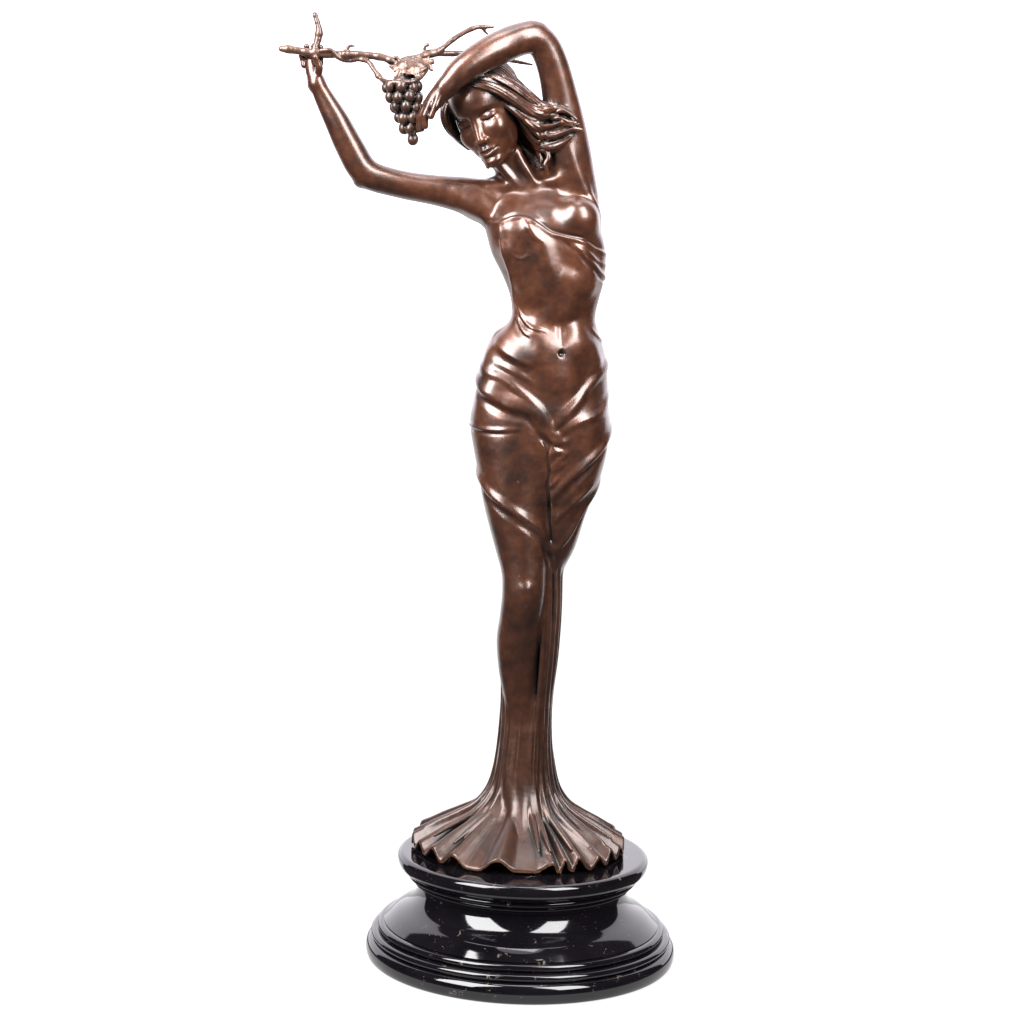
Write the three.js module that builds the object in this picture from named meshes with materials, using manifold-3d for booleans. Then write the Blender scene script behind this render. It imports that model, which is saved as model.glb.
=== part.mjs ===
// A draped bronze woman who holds up a vine branch, on a turned black marble plinth.
// Lengths are in millimetres, +Z is up and -Y is the front. The origin is the centre of the plinth's underside.
import * as THREE from "three";
import { mergeVertices } from "three/addons/utils/BufferGeometryUtils.js";
import Module from "manifold-3d";

const wasm = await Module();
wasm.setup();

// Driving dimensions
const figureHeight = 671; // plinth top to the raised elbow
const hemRadius = 89; // half the width of the spread skirt
const hemThickness = 2.8; // the cast cloth's edge
const hemLift = 9.5; // how far a pleat's crest stands above its trough at the hem
const grapeRadius = 4.3;
const ledgeWidth = 14; // bare marble between the skirt's hem and the plinth's rim
const plinthSpread = 24.5; // how far the plinth's foot stands out past its top disc
const footBandHeight = 16.5; // the thick band at the floor
const footRingHeight = 6.6; // each of the two rings above the band
const neckHeight = 33; // the swept neck between the foot rings and the collar
const collarRingHeight = 5.2; // each of the two rings under the top disc
const topDiscHeight = 15; // the top disc with its rounded rim
const neckInset = 19; // how far the neck lies inside the top disc's rim
const seatGap = 0.3; // clearance between bronze and marble
const gripGap = 0.3; // clearance between the vine and the hands that hold it
const bodySides = 20;
const plinthSides = 28;

// The tables of the figure hold lengths for a height of 671, and are read in proportion to figureHeight.
const share = figureHeight / 671;
const inShare = (rows, lengths = 4) => rows.map((row) => row.map((v, i) => (i < lengths ? v * share : v)));

// Sections of the trunk: height above the plinth, centre x and y, half width, half depth, turn in degrees.
const trunkSections = inShare([
  [296, 4, 1, 40, 24, 12],
  [330, 3, 1, 50, 32, 13],
  [352, 2.5, 2, 53, 35, 14],
  [371, 2.5, 2, 54.5, 36, 15],
  [392, 3.5, 2, 52.5, 34, 15],
  [411, 6, 1, 47.5, 31, 15],
  [429, 8.5, 0, 38.5, 28, 14],
  [441, 10, -1, 34, 26, 12],
  [456, 10.5, -2, 36, 26.5, 9],
  [472, 9, -3, 41, 28.5, 6],
  [488, 5, -3, 45.5, 30, 4],
  [502, 1.5, -3, 46.5, 30, 2],
  [514, -2, -2, 46, 28, 0],
  [526, -4, 0, 43, 24, 0],
  [537, -7, 3, 36, 18, 0],
  [546, -11, 5, 24, 14, 0],
  [553, -15, 5, 15, 12, 0],
], 5);

// The cloth that gathers between the legs.
const columnSections = inShare([
  [30, -2, 2, 26, 26, 0],
  [73, -3, 1, 20.5, 22, 0],
  [98, -2, 2, 18.5, 20, 0],
  [112, -1.5, 3, 18.8, 19, 0],
  [134, -0.5, 5, 19.5, 17, 0],
  [152, 3, 6, 17, 14.5, 0],
  [168, 7, 6, 14.5, 13.5, 0],
  [200, 9, 5, 13.5, 12.5, 0],
  [235, 12, 5, 12, 11, 0],
  [250, 13, 5, 9, 9, 0],
], 5);

// The skirt's crest line from the hem inwards: share of its spread, height, depth of the pleats in shares of hemLift.
const crestLine = [
  [1, 12, 1],
  [0.88, 17, 0.96],
  [0.7, 24, 0.84],
  [0.5, 31, 0.68],
  [0.32, 38, 0.52],
  [0.18, 48, 0.38],
  [0.09, 64, 0.24],
  [0.02, 92, 0.1],
  [-0.08, 128, 0],
];
const gatherRadius = 19 * share;
const skirtMiddle = { hem: [-4, 6], gather: [-1, 7] };
const skirtDepth = 0.91; // depth of the hem's outline against its width
// Where the pleats' crests stand, in degrees from the front.
const pleatTurns = [
  -153, -137, -125, -112, -97, -83, -70, -52, -37, -11, 19, 30, 48, 60, 73, 88, 102, 116, 131, 146, 161, 176, 192,
];

// Rounded forms follow a path of x, y, height and radius.
const frontLeg = inShare([
  [-22, -1, 352, 31],
  [-19, -6, 332, 29.5],
  [-15.5, -10, 296, 26.5],
  [-10, -14, 259, 21.5],
  [-7, -18, 236, 17.8],
  [-6.5, -19, 220, 17.2],
  [-8, -14, 198, 17],
  [-9.5, -9, 178, 17.6],
  [-9, -6, 152, 15.5],
  [-6.5, -5, 127, 12.6],
  [-5, -4, 98, 10.4],
  [-2, -8, 64, 12],
  [2, -24, 26, 13],
  [5, -46, 13, 8],
]);
const rearLeg = inShare([
  [28, 2, 352, 29.5],
  [27, 2, 332, 28.5],
  [22, 2, 308, 27.5],
  [18, 1, 284, 23.5],
  [14, 1, 259, 20.5],
  [9, 3, 237, 16],
  [8, 6, 220, 14.5],
  [10, 12, 177, 13.5],
  [8, 12, 127, 10],
  [6, 11, 98, 8],
]);
const gatheredFolds = [
  [[13, -17, 244, 2.6], [15, -15, 212, 3], [14, -14, 162, 3], [10, -12, 112, 2.8], [9, -16, 72, 3.4], [14, -30, 36, 4]],
  [[18, -10, 244, 3], [20.5, -7, 212, 3.4], [20, -5, 162, 3.2], [15, -5, 117, 3], [14, -8, 77, 3.4]],
  [[20, -2, 250, 3], [22, 1, 212, 3.4], [22, 3, 167, 3.2], [16.5, 3, 122, 3], [17, 1, 77, 3.2]],
].map((path) => inShare(path));
const breasts = inShare([[-21, -15, 508, 17.5], [26, -16, 518, 17.5]]);

// Raised folds of the cloth: path of turn in degrees from the front and height, then radius.
const clothRolls = [
  { path: [[-140, 410], [-100, 398], [-60, 380], [-30, 368], [-3, 362], [18, 346]], radius: 3.2 },
  { path: [[-43, 399], [-20, 384], [3, 368], [16, 352]], radius: 2.4 },
  { path: [[140, 412], [100, 404], [69, 391], [40, 370], [18, 348]], radius: 3 },
  { path: [[130, 376], [90, 349], [62, 327], [38, 308], [18, 290]], radius: 3 },
  { path: [[112, 320], [76, 304], [50, 290], [26, 272]], radius: 2.4 },
  { path: [[-120, 332], [-80, 313], [-45, 294], [-15, 278], [4, 266], [20, 252]], radius: 2.8 },
  { path: [[-110, 507], [-70, 512], [-34, 518], [-10, 515], [14, 506], [44, 501], [82, 492], [125, 490]], radius: 2.1 },
  { path: [[-56, 512], [-57, 484], [-68, 448]], radius: 1.9 },
];

const neckPath = inShare([[-9, 4, 528, 17], [-13.6, 2, 540, 15.5], [-24.3, 2, 553.8, 14.5], [-36, 0, 571, 14.5]]);
const shoulders = [
  [[-20, 5, 547, 11], [-34, 4, 540, 12], [-50, 3, 531, 14]],
  [[-10, 5, 547, 11], [4, 4, 546, 12], [20, 3, 549, 15]],
].map((path) => inShare(path));
const branchArm = inShare([
  [-30, 5, 524, 17],
  [-49.9, 3, 529, 16.5],
  [-64, 1, 533.7, 14.8],
  [-83.3, -1, 536.6, 12.3],
  [-117.4, -5, 541.4, 11],
  [-141.9, -8, 549.2, 11.6],
  [-154.9, -10, 568.4, 11.2],
  [-165.4, -12, 588.2, 9.8],
  [-175.1, -13, 605, 7.8],
  [-181.6, -14, 617.1, 6.2],
]);
const bentArm = inShare([
  [22, 4, 500, 13],
  [26, 4, 522, 17.5],
  [21, 2, 552.9, 18],
  [14.2, -2, 587.9, 16.5],
  [9, -6, 614.8, 14],
  [1.6, -10, 640, 12.6],
  [-5.2, -12.5, 652.4, 12.4],
  [-13.6, -16, 657.4, 12.8],
  [-23.4, -20, 655.8, 12.8],
  [-38.6, -30, 648.5, 13],
  [-53.6, -38, 639.6, 12],
  [-68.6, -44, 627.8, 10.5],
  [-78.9, -47, 616, 7.8],
]);

// Each hand: palm path, fingers from the first to the little one, thumb last.
const branchHand = [
  [[-181.6, -14, 617.1, 6], [-184.5, -11.5, 626, 6.5], [-186, -9.5, 633, 6]],
  [[-180, -8.5, 633, 2.6], [-179.5, -8.5, 640, 2.5], [-179.5, -12, 645, 2.2]],
  [[-184.5, -8, 634, 2.7], [-184.5, -8, 641.5, 2.6], [-185, -12, 646, 2.2]],
  [[-189, -8.5, 633, 2.6], [-190, -8.5, 640.5, 2.5], [-190.5, -12, 645.5, 2.1]],
  [[-192.5, -9.5, 631, 2.3], [-194.5, -9.5, 638, 2.2], [-195.5, -13, 643, 1.9]],
  [[-181, -16, 621, 3], [-179.5, -19.5, 629, 2.8], [-182.5, -21.5, 637, 2.3]],
].map((path) => inShare(path));
const bentHand = [
  [[-78.9, -47, 616, 7], [-86, -46, 607, 7.4], [-91.5, -44.5, 599, 7]],
  [[-92, -50, 600, 3.2], [-98, -51, 592, 2.9], [-101, -50, 584, 2.3]],
  [[-93.5, -46, 599, 3.3], [-101, -46, 590.5, 2.9], [-104, -44, 581.5, 2.2]],
  [[-93, -41.5, 599, 3.1], [-100.5, -40.5, 590, 2.8], [-102, -38.5, 581, 2.2]],
  [[-91.5, -37.5, 600, 2.8], [-97.5, -36, 592, 2.5], [-98, -34, 584.5, 2]],
  [[-83, -52, 606, 3], [-86.5, -55, 598, 2.8], [-91, -55, 590.5, 2.3]],
].map((path) => inShare(path));

// The head's own frame: its middle, and its forward and upward directions.
const [headMiddle] = inShare([[-48, -12, 598]]);
const headForward = new THREE.Vector3(-0.33, -0.9, -0.28).normalize();
const headUp = new THREE.Vector3(-0.42, -0.12, 0.9).normalize();
const headSide = new THREE.Vector3().crossVectors(headUp, headForward).normalize();
headUp.crossVectors(headForward, headSide);

// Masses of the head: centre and half sizes, each sideways, forward and upward.
const headMasses = [
  [[0, -4, 12], [26, 32.5, 28]],
  [[0, 6, -12], [21, 21, 26.5]],
  [[0, 20, -33], [9, 8.5, 6.5]],
  [[12.5, 16, -10], [8, 9, 9]],
  [[-12.5, 16, -10], [8, 9, 9]],
].map((mass) => inShare(mass));
const eyeSockets = [[[10.5, 30, 0.5], [7.5, 6, 4.6]], [[-10.5, 30, 0.5], [7.5, 6, 4.6]]].map((mass) => inShare(mass));
const faceDetails = [
  [[10.3, 20, -0.5], [6.2, 6.2, 5.4]],
  [[-10.3, 20, -0.5], [6.2, 6.2, 5.4]],
  [[3.3, 29.5, -14.5], [2.8, 3.6, 2.8]],
  [[-3.3, 29.5, -14.5], [2.8, 3.6, 2.8]],
  [[0, 25.6, -22.6], [7, 3.8, 2.2]],
  [[0, 25.2, -27], [5.6, 3.8, 2.3]],
  [[0, -9, 15], [29, 34.5, 30.5]],
].map((mass) => inShare(mass));
const nosePath = inShare([[0, 24.5, 5, 2.8], [0, 29, -5, 3], [0, 32.5, -12.5, 3.3]]);

// Locks of hair, each a path of x, y, height and radius.
const hairLocks = [
  [
    [-66, -30, 618, 3.5],
    [-57, -38, 622, 4.6],
    [-43, -38, 618, 5],
    [-31, -32, 611, 5.2],
    [-20, -24, 603, 5.2],
    [-10, -19, 597, 5],
    [2, -20, 596, 4.4],
    [13, -21, 600, 3.2],
    [23, -22, 594, 1.4],
  ],
  [[-26, -24, 607, 5], [-11, -17, 594, 5.4], [1, -18, 588, 5], [11, -21, 592, 4], [21, -23, 592, 3], [28, -22, 587, 1.2]],
  [[-26, -16, 604, 5.4], [-13, -12, 590, 6], [-1, -14, 582, 5.4], [10, -17, 581, 4.2], [19, -20, 585, 3], [26, -20, 586, 1.2]],
  [[-23, -10, 600, 5.4], [-13, -8, 586, 5.6], [-3, -12, 577, 5], [7, -15, 575, 3.8], [17, -18, 580, 1.4]],
  [[-20, -4, 594, 5], [-8, -6, 578, 4.6], [-1, -12, 567, 3.6], [2.5, -15, 555, 1.4]],
  [[-40, 8, 634, 8], [-26, 8, 627, 9], [-14, 4, 614, 9], [-2, -2, 605, 8], [10, -8, 601, 5.5], [20, -13, 597, 2]],
  [[-34, 12, 615, 16], [-20, 8, 600, 15], [-8, 2, 589, 11], [4, -4, 585, 6]],
  [[-70, -4, 616, 9], [-76, -10, 600, 8], [-75, -12, 588, 6.5], [-66, -8, 576, 4.5], [-52, 2, 568, 4]],
].map((path) => inShare(path));

// The vine's branches as paths of x, y, height and radius.
const vineBranches = [
  [
    [-211, -14, 643, 2.6],
    [-197.8, -14, 642.1, 3.2],
    [-180.6, -15, 639.7, 3.2],
    [-162.6, -16, 640.2, 2.9],
    [-140.4, -18, 639.8, 3],
    [-125.3, -20, 637.1, 2.8],
    [-118, -20, 632, 2.4],
  ],
  [
    [-182.6, -15.5, 632, 1.9],
    [-183.8, -15, 642.5, 2.6],
    [-182, -13, 649.6, 2.9],
    [-180.8, -12, 657.4, 2.6],
    [-182.5, -11, 664.3, 2.2],
    [-184.8, -10, 671.2, 1.5],
  ],
  [
    [-178.5, -18, 642.4, 1.8],
    [-170.4, -19, 642.7, 1.8],
    [-164.4, -18, 637, 1.8],
    [-156.4, -15, 635.4, 1.8],
    [-149.5, -18, 636.5, 1.8],
    [-141.2, -20, 634.7, 1.8],
    [-135.8, -23, 627.9, 1.9],
    [-129.4, -28, 621, 2],
    [-124, -35, 619.2, 2],
    [-114.2, -40, 619.1, 2],
    [-105.1, -37, 620.2, 2],
    [-99.5, -30, 623.8, 1.8],
    [-95.1, -22, 633, 1.6],
  ],
  [[-120, -20, 633, 2.2], [-114.2, -20, 636.7, 2.4], [-101.7, -16, 640.1, 2.6], [-88, -11, 644.5, 2.7]],
  [[-92, -12, 643, 2.5], [-85.4, -10, 646.6, 2.2], [-73.9, -6, 656.4, 2], [-58.7, -2, 664.8, 1.9], [-45.6, 2, 665.9, 1.2]],
  [[-92, -12, 643, 2.4], [-75.9, -4, 644, 2.3], [-58.8, 4, 645, 2.3], [-36, 8, 641.5, 2.1], [-13.6, 10, 638, 0.8]],
  [[-159.5, -17, 640.6, 1.6], [-156.6, -17, 646.7, 1.3], [-152.6, -17, 646.8, 0.8]],
].map((path) => inShare(path));

// The bunch hangs from the branch in rounds of grapes that grow fewer towards its tip.
const [bunchTop, bunchTip] = inShare([[-114, -27, 616], [-104.5, -27, 577]]);
const bunchRounds = [
  { along: 0, grapes: 8, spread: 2.8 },
  { along: 0.2, grapes: 8, spread: 2.6 },
  { along: 0.4, grapes: 7, spread: 2.2 },
  { along: 0.6, grapes: 6, spread: 1.75 },
  { along: 0.8, grapes: 4, spread: 1.2 },
  { along: 1, grapes: 1, spread: 0 },
];
const leafPlates = [
  [[-116, -22, 630], [9, 7, 6]],
  [[-105, -24, 631], [9, 6, 6]],
  [[-97, -17, 635], [8, 5, 6]],
].map((plate) => inShare(plate));

// Blends a row of a table at one place, with a smooth curve through the rows.
function rowAt(table, at) {
  const last = table.length - 1;
  let i = 0;
  while (i < last - 1 && at > table[i + 1][0]) i++;
  const from = table[i];
  const to = table[i + 1];
  const before = table[Math.max(i - 1, 0)];
  const after = table[Math.min(i + 2, last)];
  const span = to[0] - from[0];
  const t = THREE.MathUtils.clamp((at - from[0]) / span, 0, 1);
  return from.map((value, c) => {
    const startSlope = ((to[c] - before[c]) / (to[0] - before[0])) * span;
    const endSlope = ((after[c] - value) / (after[0] - from[0])) * span;
    const t2 = t * t;
    const t3 = t2 * t;
    return (
      (2 * t3 - 3 * t2 + 1) * value +
      (t3 - 2 * t2 + t) * startSlope +
      (3 * t2 - 2 * t3) * to[c] +
      (t3 - t2) * endSlope
    );
  });
}

// Smooth lower envelope of two distances over a blend width.
function blendUnion(a, b, width) {
  const h = Math.max(width - Math.abs(a - b), 0) / width;
  return Math.min(a, b) - (h * h * width) / 4;
}

// Points and radii along a smooth curve through a path.
function smoothPath(path, steps) {
  const curve = new THREE.CatmullRomCurve3(
    path.map(([x, y, z]) => new THREE.Vector3(x, y, z)),
    false,
    "centripetal",
  );
  const spans = path.length - 1;
  const made = [];
  for (let i = 0; i <= steps; i++) {
    const t = (i / steps) * spans;
    const k = Math.min(Math.floor(t), spans - 1);
    const f = t - k;
    const ease = f * f * (3 - 2 * f);
    made.push({
      point: curve.getPoint(i / steps),
      radius: THREE.MathUtils.lerp(path[k][3], path[k + 1][3], ease),
    });
  }
  return made;
}

// Distance from a point to a rounded form that follows a smoothed path.
function pathDistance(p, nodes) {
  let least = Infinity;
  for (let i = 0; i + 1 < nodes.length; i++) {
    const a = nodes[i].point;
    const b = nodes[i + 1].point;
    const dx = b.x - a.x;
    const dy = b.y - a.y;
    const dz = b.z - a.z;
    const along = (p.x - a.x) * dx + (p.y - a.y) * dy + (p.z - a.z) * dz;
    const t = THREE.MathUtils.clamp(along / (dx * dx + dy * dy + dz * dz), 0, 1);
    const gap = Math.hypot(p.x - a.x - t * dx, p.y - a.y - t * dy, p.z - a.z - t * dz);
    least = Math.min(least, gap - THREE.MathUtils.lerp(nodes[i].radius, nodes[i + 1].radius, t));
  }
  return least;
}

// Distance to an ellipse or an ellipsoid, good close to its surface.
function ovalDistance(offsets, halves) {
  const k0 = Math.hypot(...offsets.map((v, i) => v / halves[i]));
  const k1 = Math.hypot(...offsets.map((v, i) => v / halves[i] ** 2));
  return k1 > 0 ? (k0 * (k0 - 1)) / k1 : -Math.min(...halves);
}

// Distance to a form built up from turned elliptical sections.
function stackDistance(p, sections) {
  const z = THREE.MathUtils.clamp(p.z, sections[0][0], sections[sections.length - 1][0]);
  const [, cx, cy, halfWidth, halfDepth, turn] = rowAt(sections, z);
  const angle = THREE.MathUtils.degToRad(turn);
  const x = (p.x - cx) * Math.cos(angle) + (p.y - cy) * Math.sin(angle);
  const y = -(p.x - cx) * Math.sin(angle) + (p.y - cy) * Math.cos(angle);
  const flat = ovalDistance([x, y], [halfWidth, halfDepth]);
  const over = Math.abs(p.z - z);
  return over > 0 ? Math.hypot(Math.max(flat, 0), over) : flat;
}

const legPaths = [frontLeg, rearLeg].map((path) => smoothPath(path, 26));

// Distance to the body: the gathered cloth, both legs, the trunk and the breasts.
function bodyDistance(p) {
  let d = stackDistance(p, columnSections);
  for (const nodes of legPaths) d = blendUnion(d, pathDistance(p, nodes), 4 * share);
  d = blendUnion(d, stackDistance(p, trunkSections), 9 * share);
  for (const [x, y, z, r] of breasts) {
    d = blendUnion(d, Math.hypot(p.x - x, p.y - y, p.z - z) - r, 9 * share);
  }
  return d;
}

// The middle of the body at one height: between the legs below, inside the hips and chest above.
function bodyMiddle(z) {
  const [, lowX, lowY] = rowAt(columnSections, Math.min(z, 250 * share));
  const [, highX, highY] = rowAt(trunkSections, THREE.MathUtils.clamp(z, 296 * share, 553 * share));
  const t = THREE.MathUtils.smoothstep(z, 110 * share, 300 * share);
  return [
    THREE.MathUtils.lerp(Math.min(lowX, 2 * share), highX, t),
    THREE.MathUtils.lerp(Math.min(lowY, 0), highY, t),
  ];
}

// Walks in from outside along a level ray and returns the first point of the body that it meets.
function bodyPoint(z, turn) {
  const [cx, cy] = bodyMiddle(z);
  const at = (r) => new THREE.Vector3(cx + Math.sin(turn) * r, cy - Math.cos(turn) * r, z);
  let outer = 80 * share;
  let inner = outer;
  for (let i = 0; i < 200 && inner > 1; i++) {
    const d = bodyDistance(at(inner));
    if (d <= 0) break;
    outer = inner;
    inner -= Math.max(d * 0.6, 0.4);
  }
  for (let i = 0; i < 12; i++) {
    const half = (inner + outer) / 2;
    if (bodyDistance(at(half)) > 0) outer = half;
    else inner = half;
  }
  return at(inner);
}

// Builds a solid from an indexed surface, turned right side out if it needs it.
function toSolid(positions, index) {
  const make = (triangles) =>
    new wasm.Manifold(
      new wasm.Mesh({
        numProp: 3,
        vertProperties: new Float32Array(positions),
        triVerts: new Uint32Array(triangles),
      }),
    );
  const solid = make(index);
  if (solid.volume() > 0) return solid;
  const turned = [];
  for (let i = 0; i < index.length; i += 3) turned.push(index[i], index[i + 2], index[i + 1]);
  return make(turned);
}

function geometryToSolid(geometry) {
  const bare = geometry.clone();
  bare.deleteAttribute("normal");
  bare.deleteAttribute("uv");
  const merged = mergeVertices(bare, 1e-3);
  return toSolid(Array.from(merged.attributes.position.array), Array.from(merged.index.array));
}

// A closed surface from rings of points, with a fan over the first and the last.
function ringsToSolid(rings) {
  const sides = rings[0].length;
  const positions = rings.flat().flatMap((p) => [p.x, p.y, p.z]);
  for (const ring of [rings[0], rings[rings.length - 1]]) {
    const middle = ring.reduce((sum, p) => sum.add(p), new THREE.Vector3()).divideScalar(sides);
    positions.push(middle.x, middle.y, middle.z);
  }
  const index = [];
  for (let i = 0; i + 1 < rings.length; i++) {
    for (let j = 0; j < sides; j++) {
      const a = i * sides + j;
      const b = i * sides + ((j + 1) % sides);
      index.push(a, b, b + sides, a, b + sides, a + sides);
    }
  }
  const firstMiddle = rings.length * sides;
  const top = firstMiddle - sides;
  for (let j = 0; j < sides; j++) {
    const next = (j + 1) % sides;
    index.push(firstMiddle, next, j, firstMiddle + 1, top + j, top + next);
  }
  return toSolid(positions, index);
}

// A rod with rounded ends along a path, its section carried along without twisting.
function rod(path, sides, steps, grow = 0) {
  const nodes = smoothPath(path, steps);
  const first = nodes[0];
  const last = nodes[nodes.length - 1];
  const startWay = nodes[1].point.clone().sub(first.point).normalize();
  const endWay = last.point.clone().sub(nodes[nodes.length - 2].point).normalize();
  const cap = (node, way, sign) => ({
    point: node.point.clone().addScaledVector(way, sign * (node.radius * 0.75 + grow)),
    radius: node.radius * 0.45,
  });
  const line = [cap(first, startWay, -1), ...nodes, cap(last, endWay, 1)];
  let side = new THREE.Vector3(0.31, 0.94, 0.12).cross(startWay).normalize();
  const rings = line.map((node, i) => {
    const ahead = line[Math.min(i + 1, line.length - 1)].point;
    const behind = line[Math.max(i - 1, 0)].point;
    const way = ahead.clone().sub(behind).normalize();
    side = side.clone().addScaledVector(way, -side.dot(way)).normalize();
    const across = new THREE.Vector3().crossVectors(way, side);
    return Array.from({ length: sides }, (_, j) => {
      const angle = (j / sides) * 2 * Math.PI;
      return node.point
        .clone()
        .addScaledVector(side, Math.cos(angle) * (node.radius + grow))
        .addScaledVector(across, Math.sin(angle) * (node.radius + grow));
    });
  });
  return ringsToSolid(rings);
}

function joined(solids) {
  return solids.reduce((whole, solid) => whole.add(solid));
}

// Trunk, legs and gathered cloth as one skin of level rings, closest together over the front.
function bodySolid() {
  const heights = [
    50, 80, 106, 130, 155, 179, 201, 220, 237, 254, 273, 293, 314, 336, 358, 379, 400, 420, 439, 458, 478, 495, 509,
    522, 534, 545,
  ];
  const rings = heights.map((height) =>
    Array.from({ length: bodySides }, (_, j) => {
      const even = (j / bodySides) * 2 * Math.PI;
      return bodyPoint(height * share, even - 0.35 * Math.sin(even));
    }),
  );
  return ringsToSolid(rings);
}

// A fold of cloth that lies on the body and thins out at both ends.
function clothRoll({ path, radius }) {
  const curve = new THREE.CatmullRomCurve3(path.map(([degrees, z]) => new THREE.Vector3(degrees, z, 0)));
  const steps = path.length + 1;
  const nodes = curve.getPoints(steps).map(({ x: degrees, y: z }, i) => {
    const on = bodyPoint(z * share, THREE.MathUtils.degToRad(degrees));
    const thickness = radius * share * (0.45 + 0.55 * Math.sin((Math.PI * (i + 0.5)) / (steps + 1)) ** 0.5);
    return [on.x, on.y, on.z, thickness];
  });
  return rod(nodes, 4, steps);
}

// The spread skirt: two columns of points for each pleat, one on its crest and one in its trough.
function skirtSolid() {
  const turns = pleatTurns.flatMap((turn, k) => {
    const next = k + 1 < pleatTurns.length ? pleatTurns[k + 1] : pleatTurns[0] + 360;
    return [{ turn, crest: 1 }, { turn: (turn + next) / 2, crest: 0 }];
  });
  const spread = hemRadius - gatherRadius;
  const place = (turn, radius, z) => {
    const t = THREE.MathUtils.clamp((radius - gatherRadius) / spread, 0, 1);
    const cx = THREE.MathUtils.lerp(skirtMiddle.gather[0], skirtMiddle.hem[0], t) * share;
    const cy = THREE.MathUtils.lerp(skirtMiddle.gather[1], skirtMiddle.hem[1], t) * share;
    const angle = THREE.MathUtils.degToRad(turn);
    const depth = THREE.MathUtils.lerp(1, skirtDepth, t);
    return new THREE.Vector3(cx + radius * Math.sin(angle), cy - radius * depth * Math.cos(angle), z);
  };
  const surfaceHeight = ([, height, pleat], crest) => height * share - hemLift * pleat * (1 - crest);
  const rings = [
    turns.map(({ turn }) => place(turn, hemRadius * 0.86, 0)),
    turns.map(({ turn, crest }) => place(turn, hemRadius - 1, surfaceHeight(crestLine[0], crest) - hemThickness)),
    ...crestLine.map((row) =>
      turns.map(({ turn, crest }) => place(turn, gatherRadius + row[0] * spread, surfaceHeight(row, crest))),
    ),
  ];
  // The cloth's lower edge touches the plinth only in the troughs.
  for (const point of rings[1]) point.z = Math.max(point.z, 0);
  return ringsToSolid(rings);
}

// Distance to the head in its own frame, without the hair.
function headDistance(q) {
  const to = ([centre, half]) => ovalDistance([q.x - centre[0], q.y - centre[1], q.z - centre[2]], half);
  let d = headMasses.map(to).reduce((a, b) => blendUnion(a, b, 5 * share));
  for (const socket of eyeSockets) d = -blendUnion(-d, to(socket), 5 * share);
  for (const detail of faceDetails) d = blendUnion(d, to(detail), 2 * share);
  return blendUnion(d, pathDistance(q, nose), 4 * share);
}

const nose = smoothPath(nosePath, 4);

// The head as rings round its forward axis, closest together over the face.
function headSolid() {
  const frame = new THREE.Matrix4().makeBasis(headSide, headForward, headUp).setPosition(...headMiddle);
  const angles = [5, 10, 14, 18, 22, 26, 30, 34, 38, 43, 50, 60, 76, 98, 126, 158];
  const sides = 20;
  const rings = angles.map((degrees) => {
    const a = THREE.MathUtils.degToRad(degrees);
    return Array.from({ length: sides }, (_, j) => {
      const b = (j / sides) * 2 * Math.PI;
      const way = new THREE.Vector3(Math.sin(a) * Math.sin(b), Math.cos(a), Math.sin(a) * Math.cos(b));
      let inner = 4;
      let outer = 60 * share;
      for (let k = 0; k < 18; k++) {
        const half = (inner + outer) / 2;
        if (headDistance(way.clone().multiplyScalar(half)) > 0) outer = half;
        else inner = half;
      }
      return way.multiplyScalar(inner).applyMatrix4(frame);
    });
  });
  return ringsToSolid(rings);
}

function handSolids([palm, ...fingers]) {
  return [rod(palm, 6, 2), ...fingers.map((finger) => rod(finger, 4, 3))];
}

function figureSolid() {
  return joined([
    bodySolid(),
    skirtSolid(),
    ...clothRolls.map(clothRoll),
    ...gatheredFolds.map((path) => rod(path, 4, path.length + 2)),
    rod(neckPath, 8, 3),
    ...shoulders.map((path) => rod(path, 7, 2)),
    rod(branchArm, 8, 10),
    rod(bentArm, 8, 11),
    headSolid(),
    ...hairLocks.map((lock) => rod(lock, 5, lock.length - 1)),
    ...handSolids(branchHand),
    ...handSolids(bentHand),
  ]);
}

// The vine with its bunch and leaves, every form grown by the same margin.
function vineSolid(grow) {
  const parts = vineBranches.map((path) => rod(path, 4, path.length, grow));
  const oval = (shape, centre, half) =>
    geometryToSolid(
      shape
        .scale(half[0] + grow, half[1] + grow, half[2] + grow)
        .translate(...centre),
    );
  const middle = new THREE.Vector3();
  const from = new THREE.Vector3(...bunchTop);
  const to = new THREE.Vector3(...bunchTip);
  const half = new Array(3).fill(1.08 * grapeRadius);
  bunchRounds.forEach(({ along, grapes, spread }, row) => {
    middle.lerpVectors(from, to, along);
    for (let k = 0; k < grapes; k++) {
      const angle = ((k + 0.5 * (row % 2)) / grapes) * 2 * Math.PI;
      const x = middle.x + spread * grapeRadius * Math.sin(angle);
      const y = middle.y - spread * grapeRadius * Math.cos(angle);
      parts.push(oval(new THREE.IcosahedronGeometry(1), [x, y, middle.z], half));
    }
  });
  // The stalk runs down the middle of the bunch and joins its rounds.
  const stalkHead = [bunchTop[0], bunchTop[1] + 4 * share, bunchTop[2] + 12 * share, 3 * share];
  const stalkTop = [...bunchTop, 2.4 * grapeRadius];
  const stalkMiddle = [...middle.lerpVectors(from, to, 0.5), 1.6 * grapeRadius];
  const stalkTip = [...bunchTip, 0.7 * grapeRadius];
  parts.push(rod([stalkHead, stalkTop, stalkMiddle, stalkTip], 6, 6, grow));
  for (const [centre, size] of leafPlates) parts.push(oval(new THREE.SphereGeometry(1, 7, 5), centre, size));
  return joined(parts);
}

// Cutting the grip out of the hand can leave a crumb, so only the largest body is kept.
function largestBody(solid) {
  return solid.decompose().reduce((most, body) => (body.volume() > most.volume() ? body : most));
}

const plinthHeight = footBandHeight + 2 * footRingHeight + neckHeight + 2 * collarRingHeight + topDiscHeight;

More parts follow.
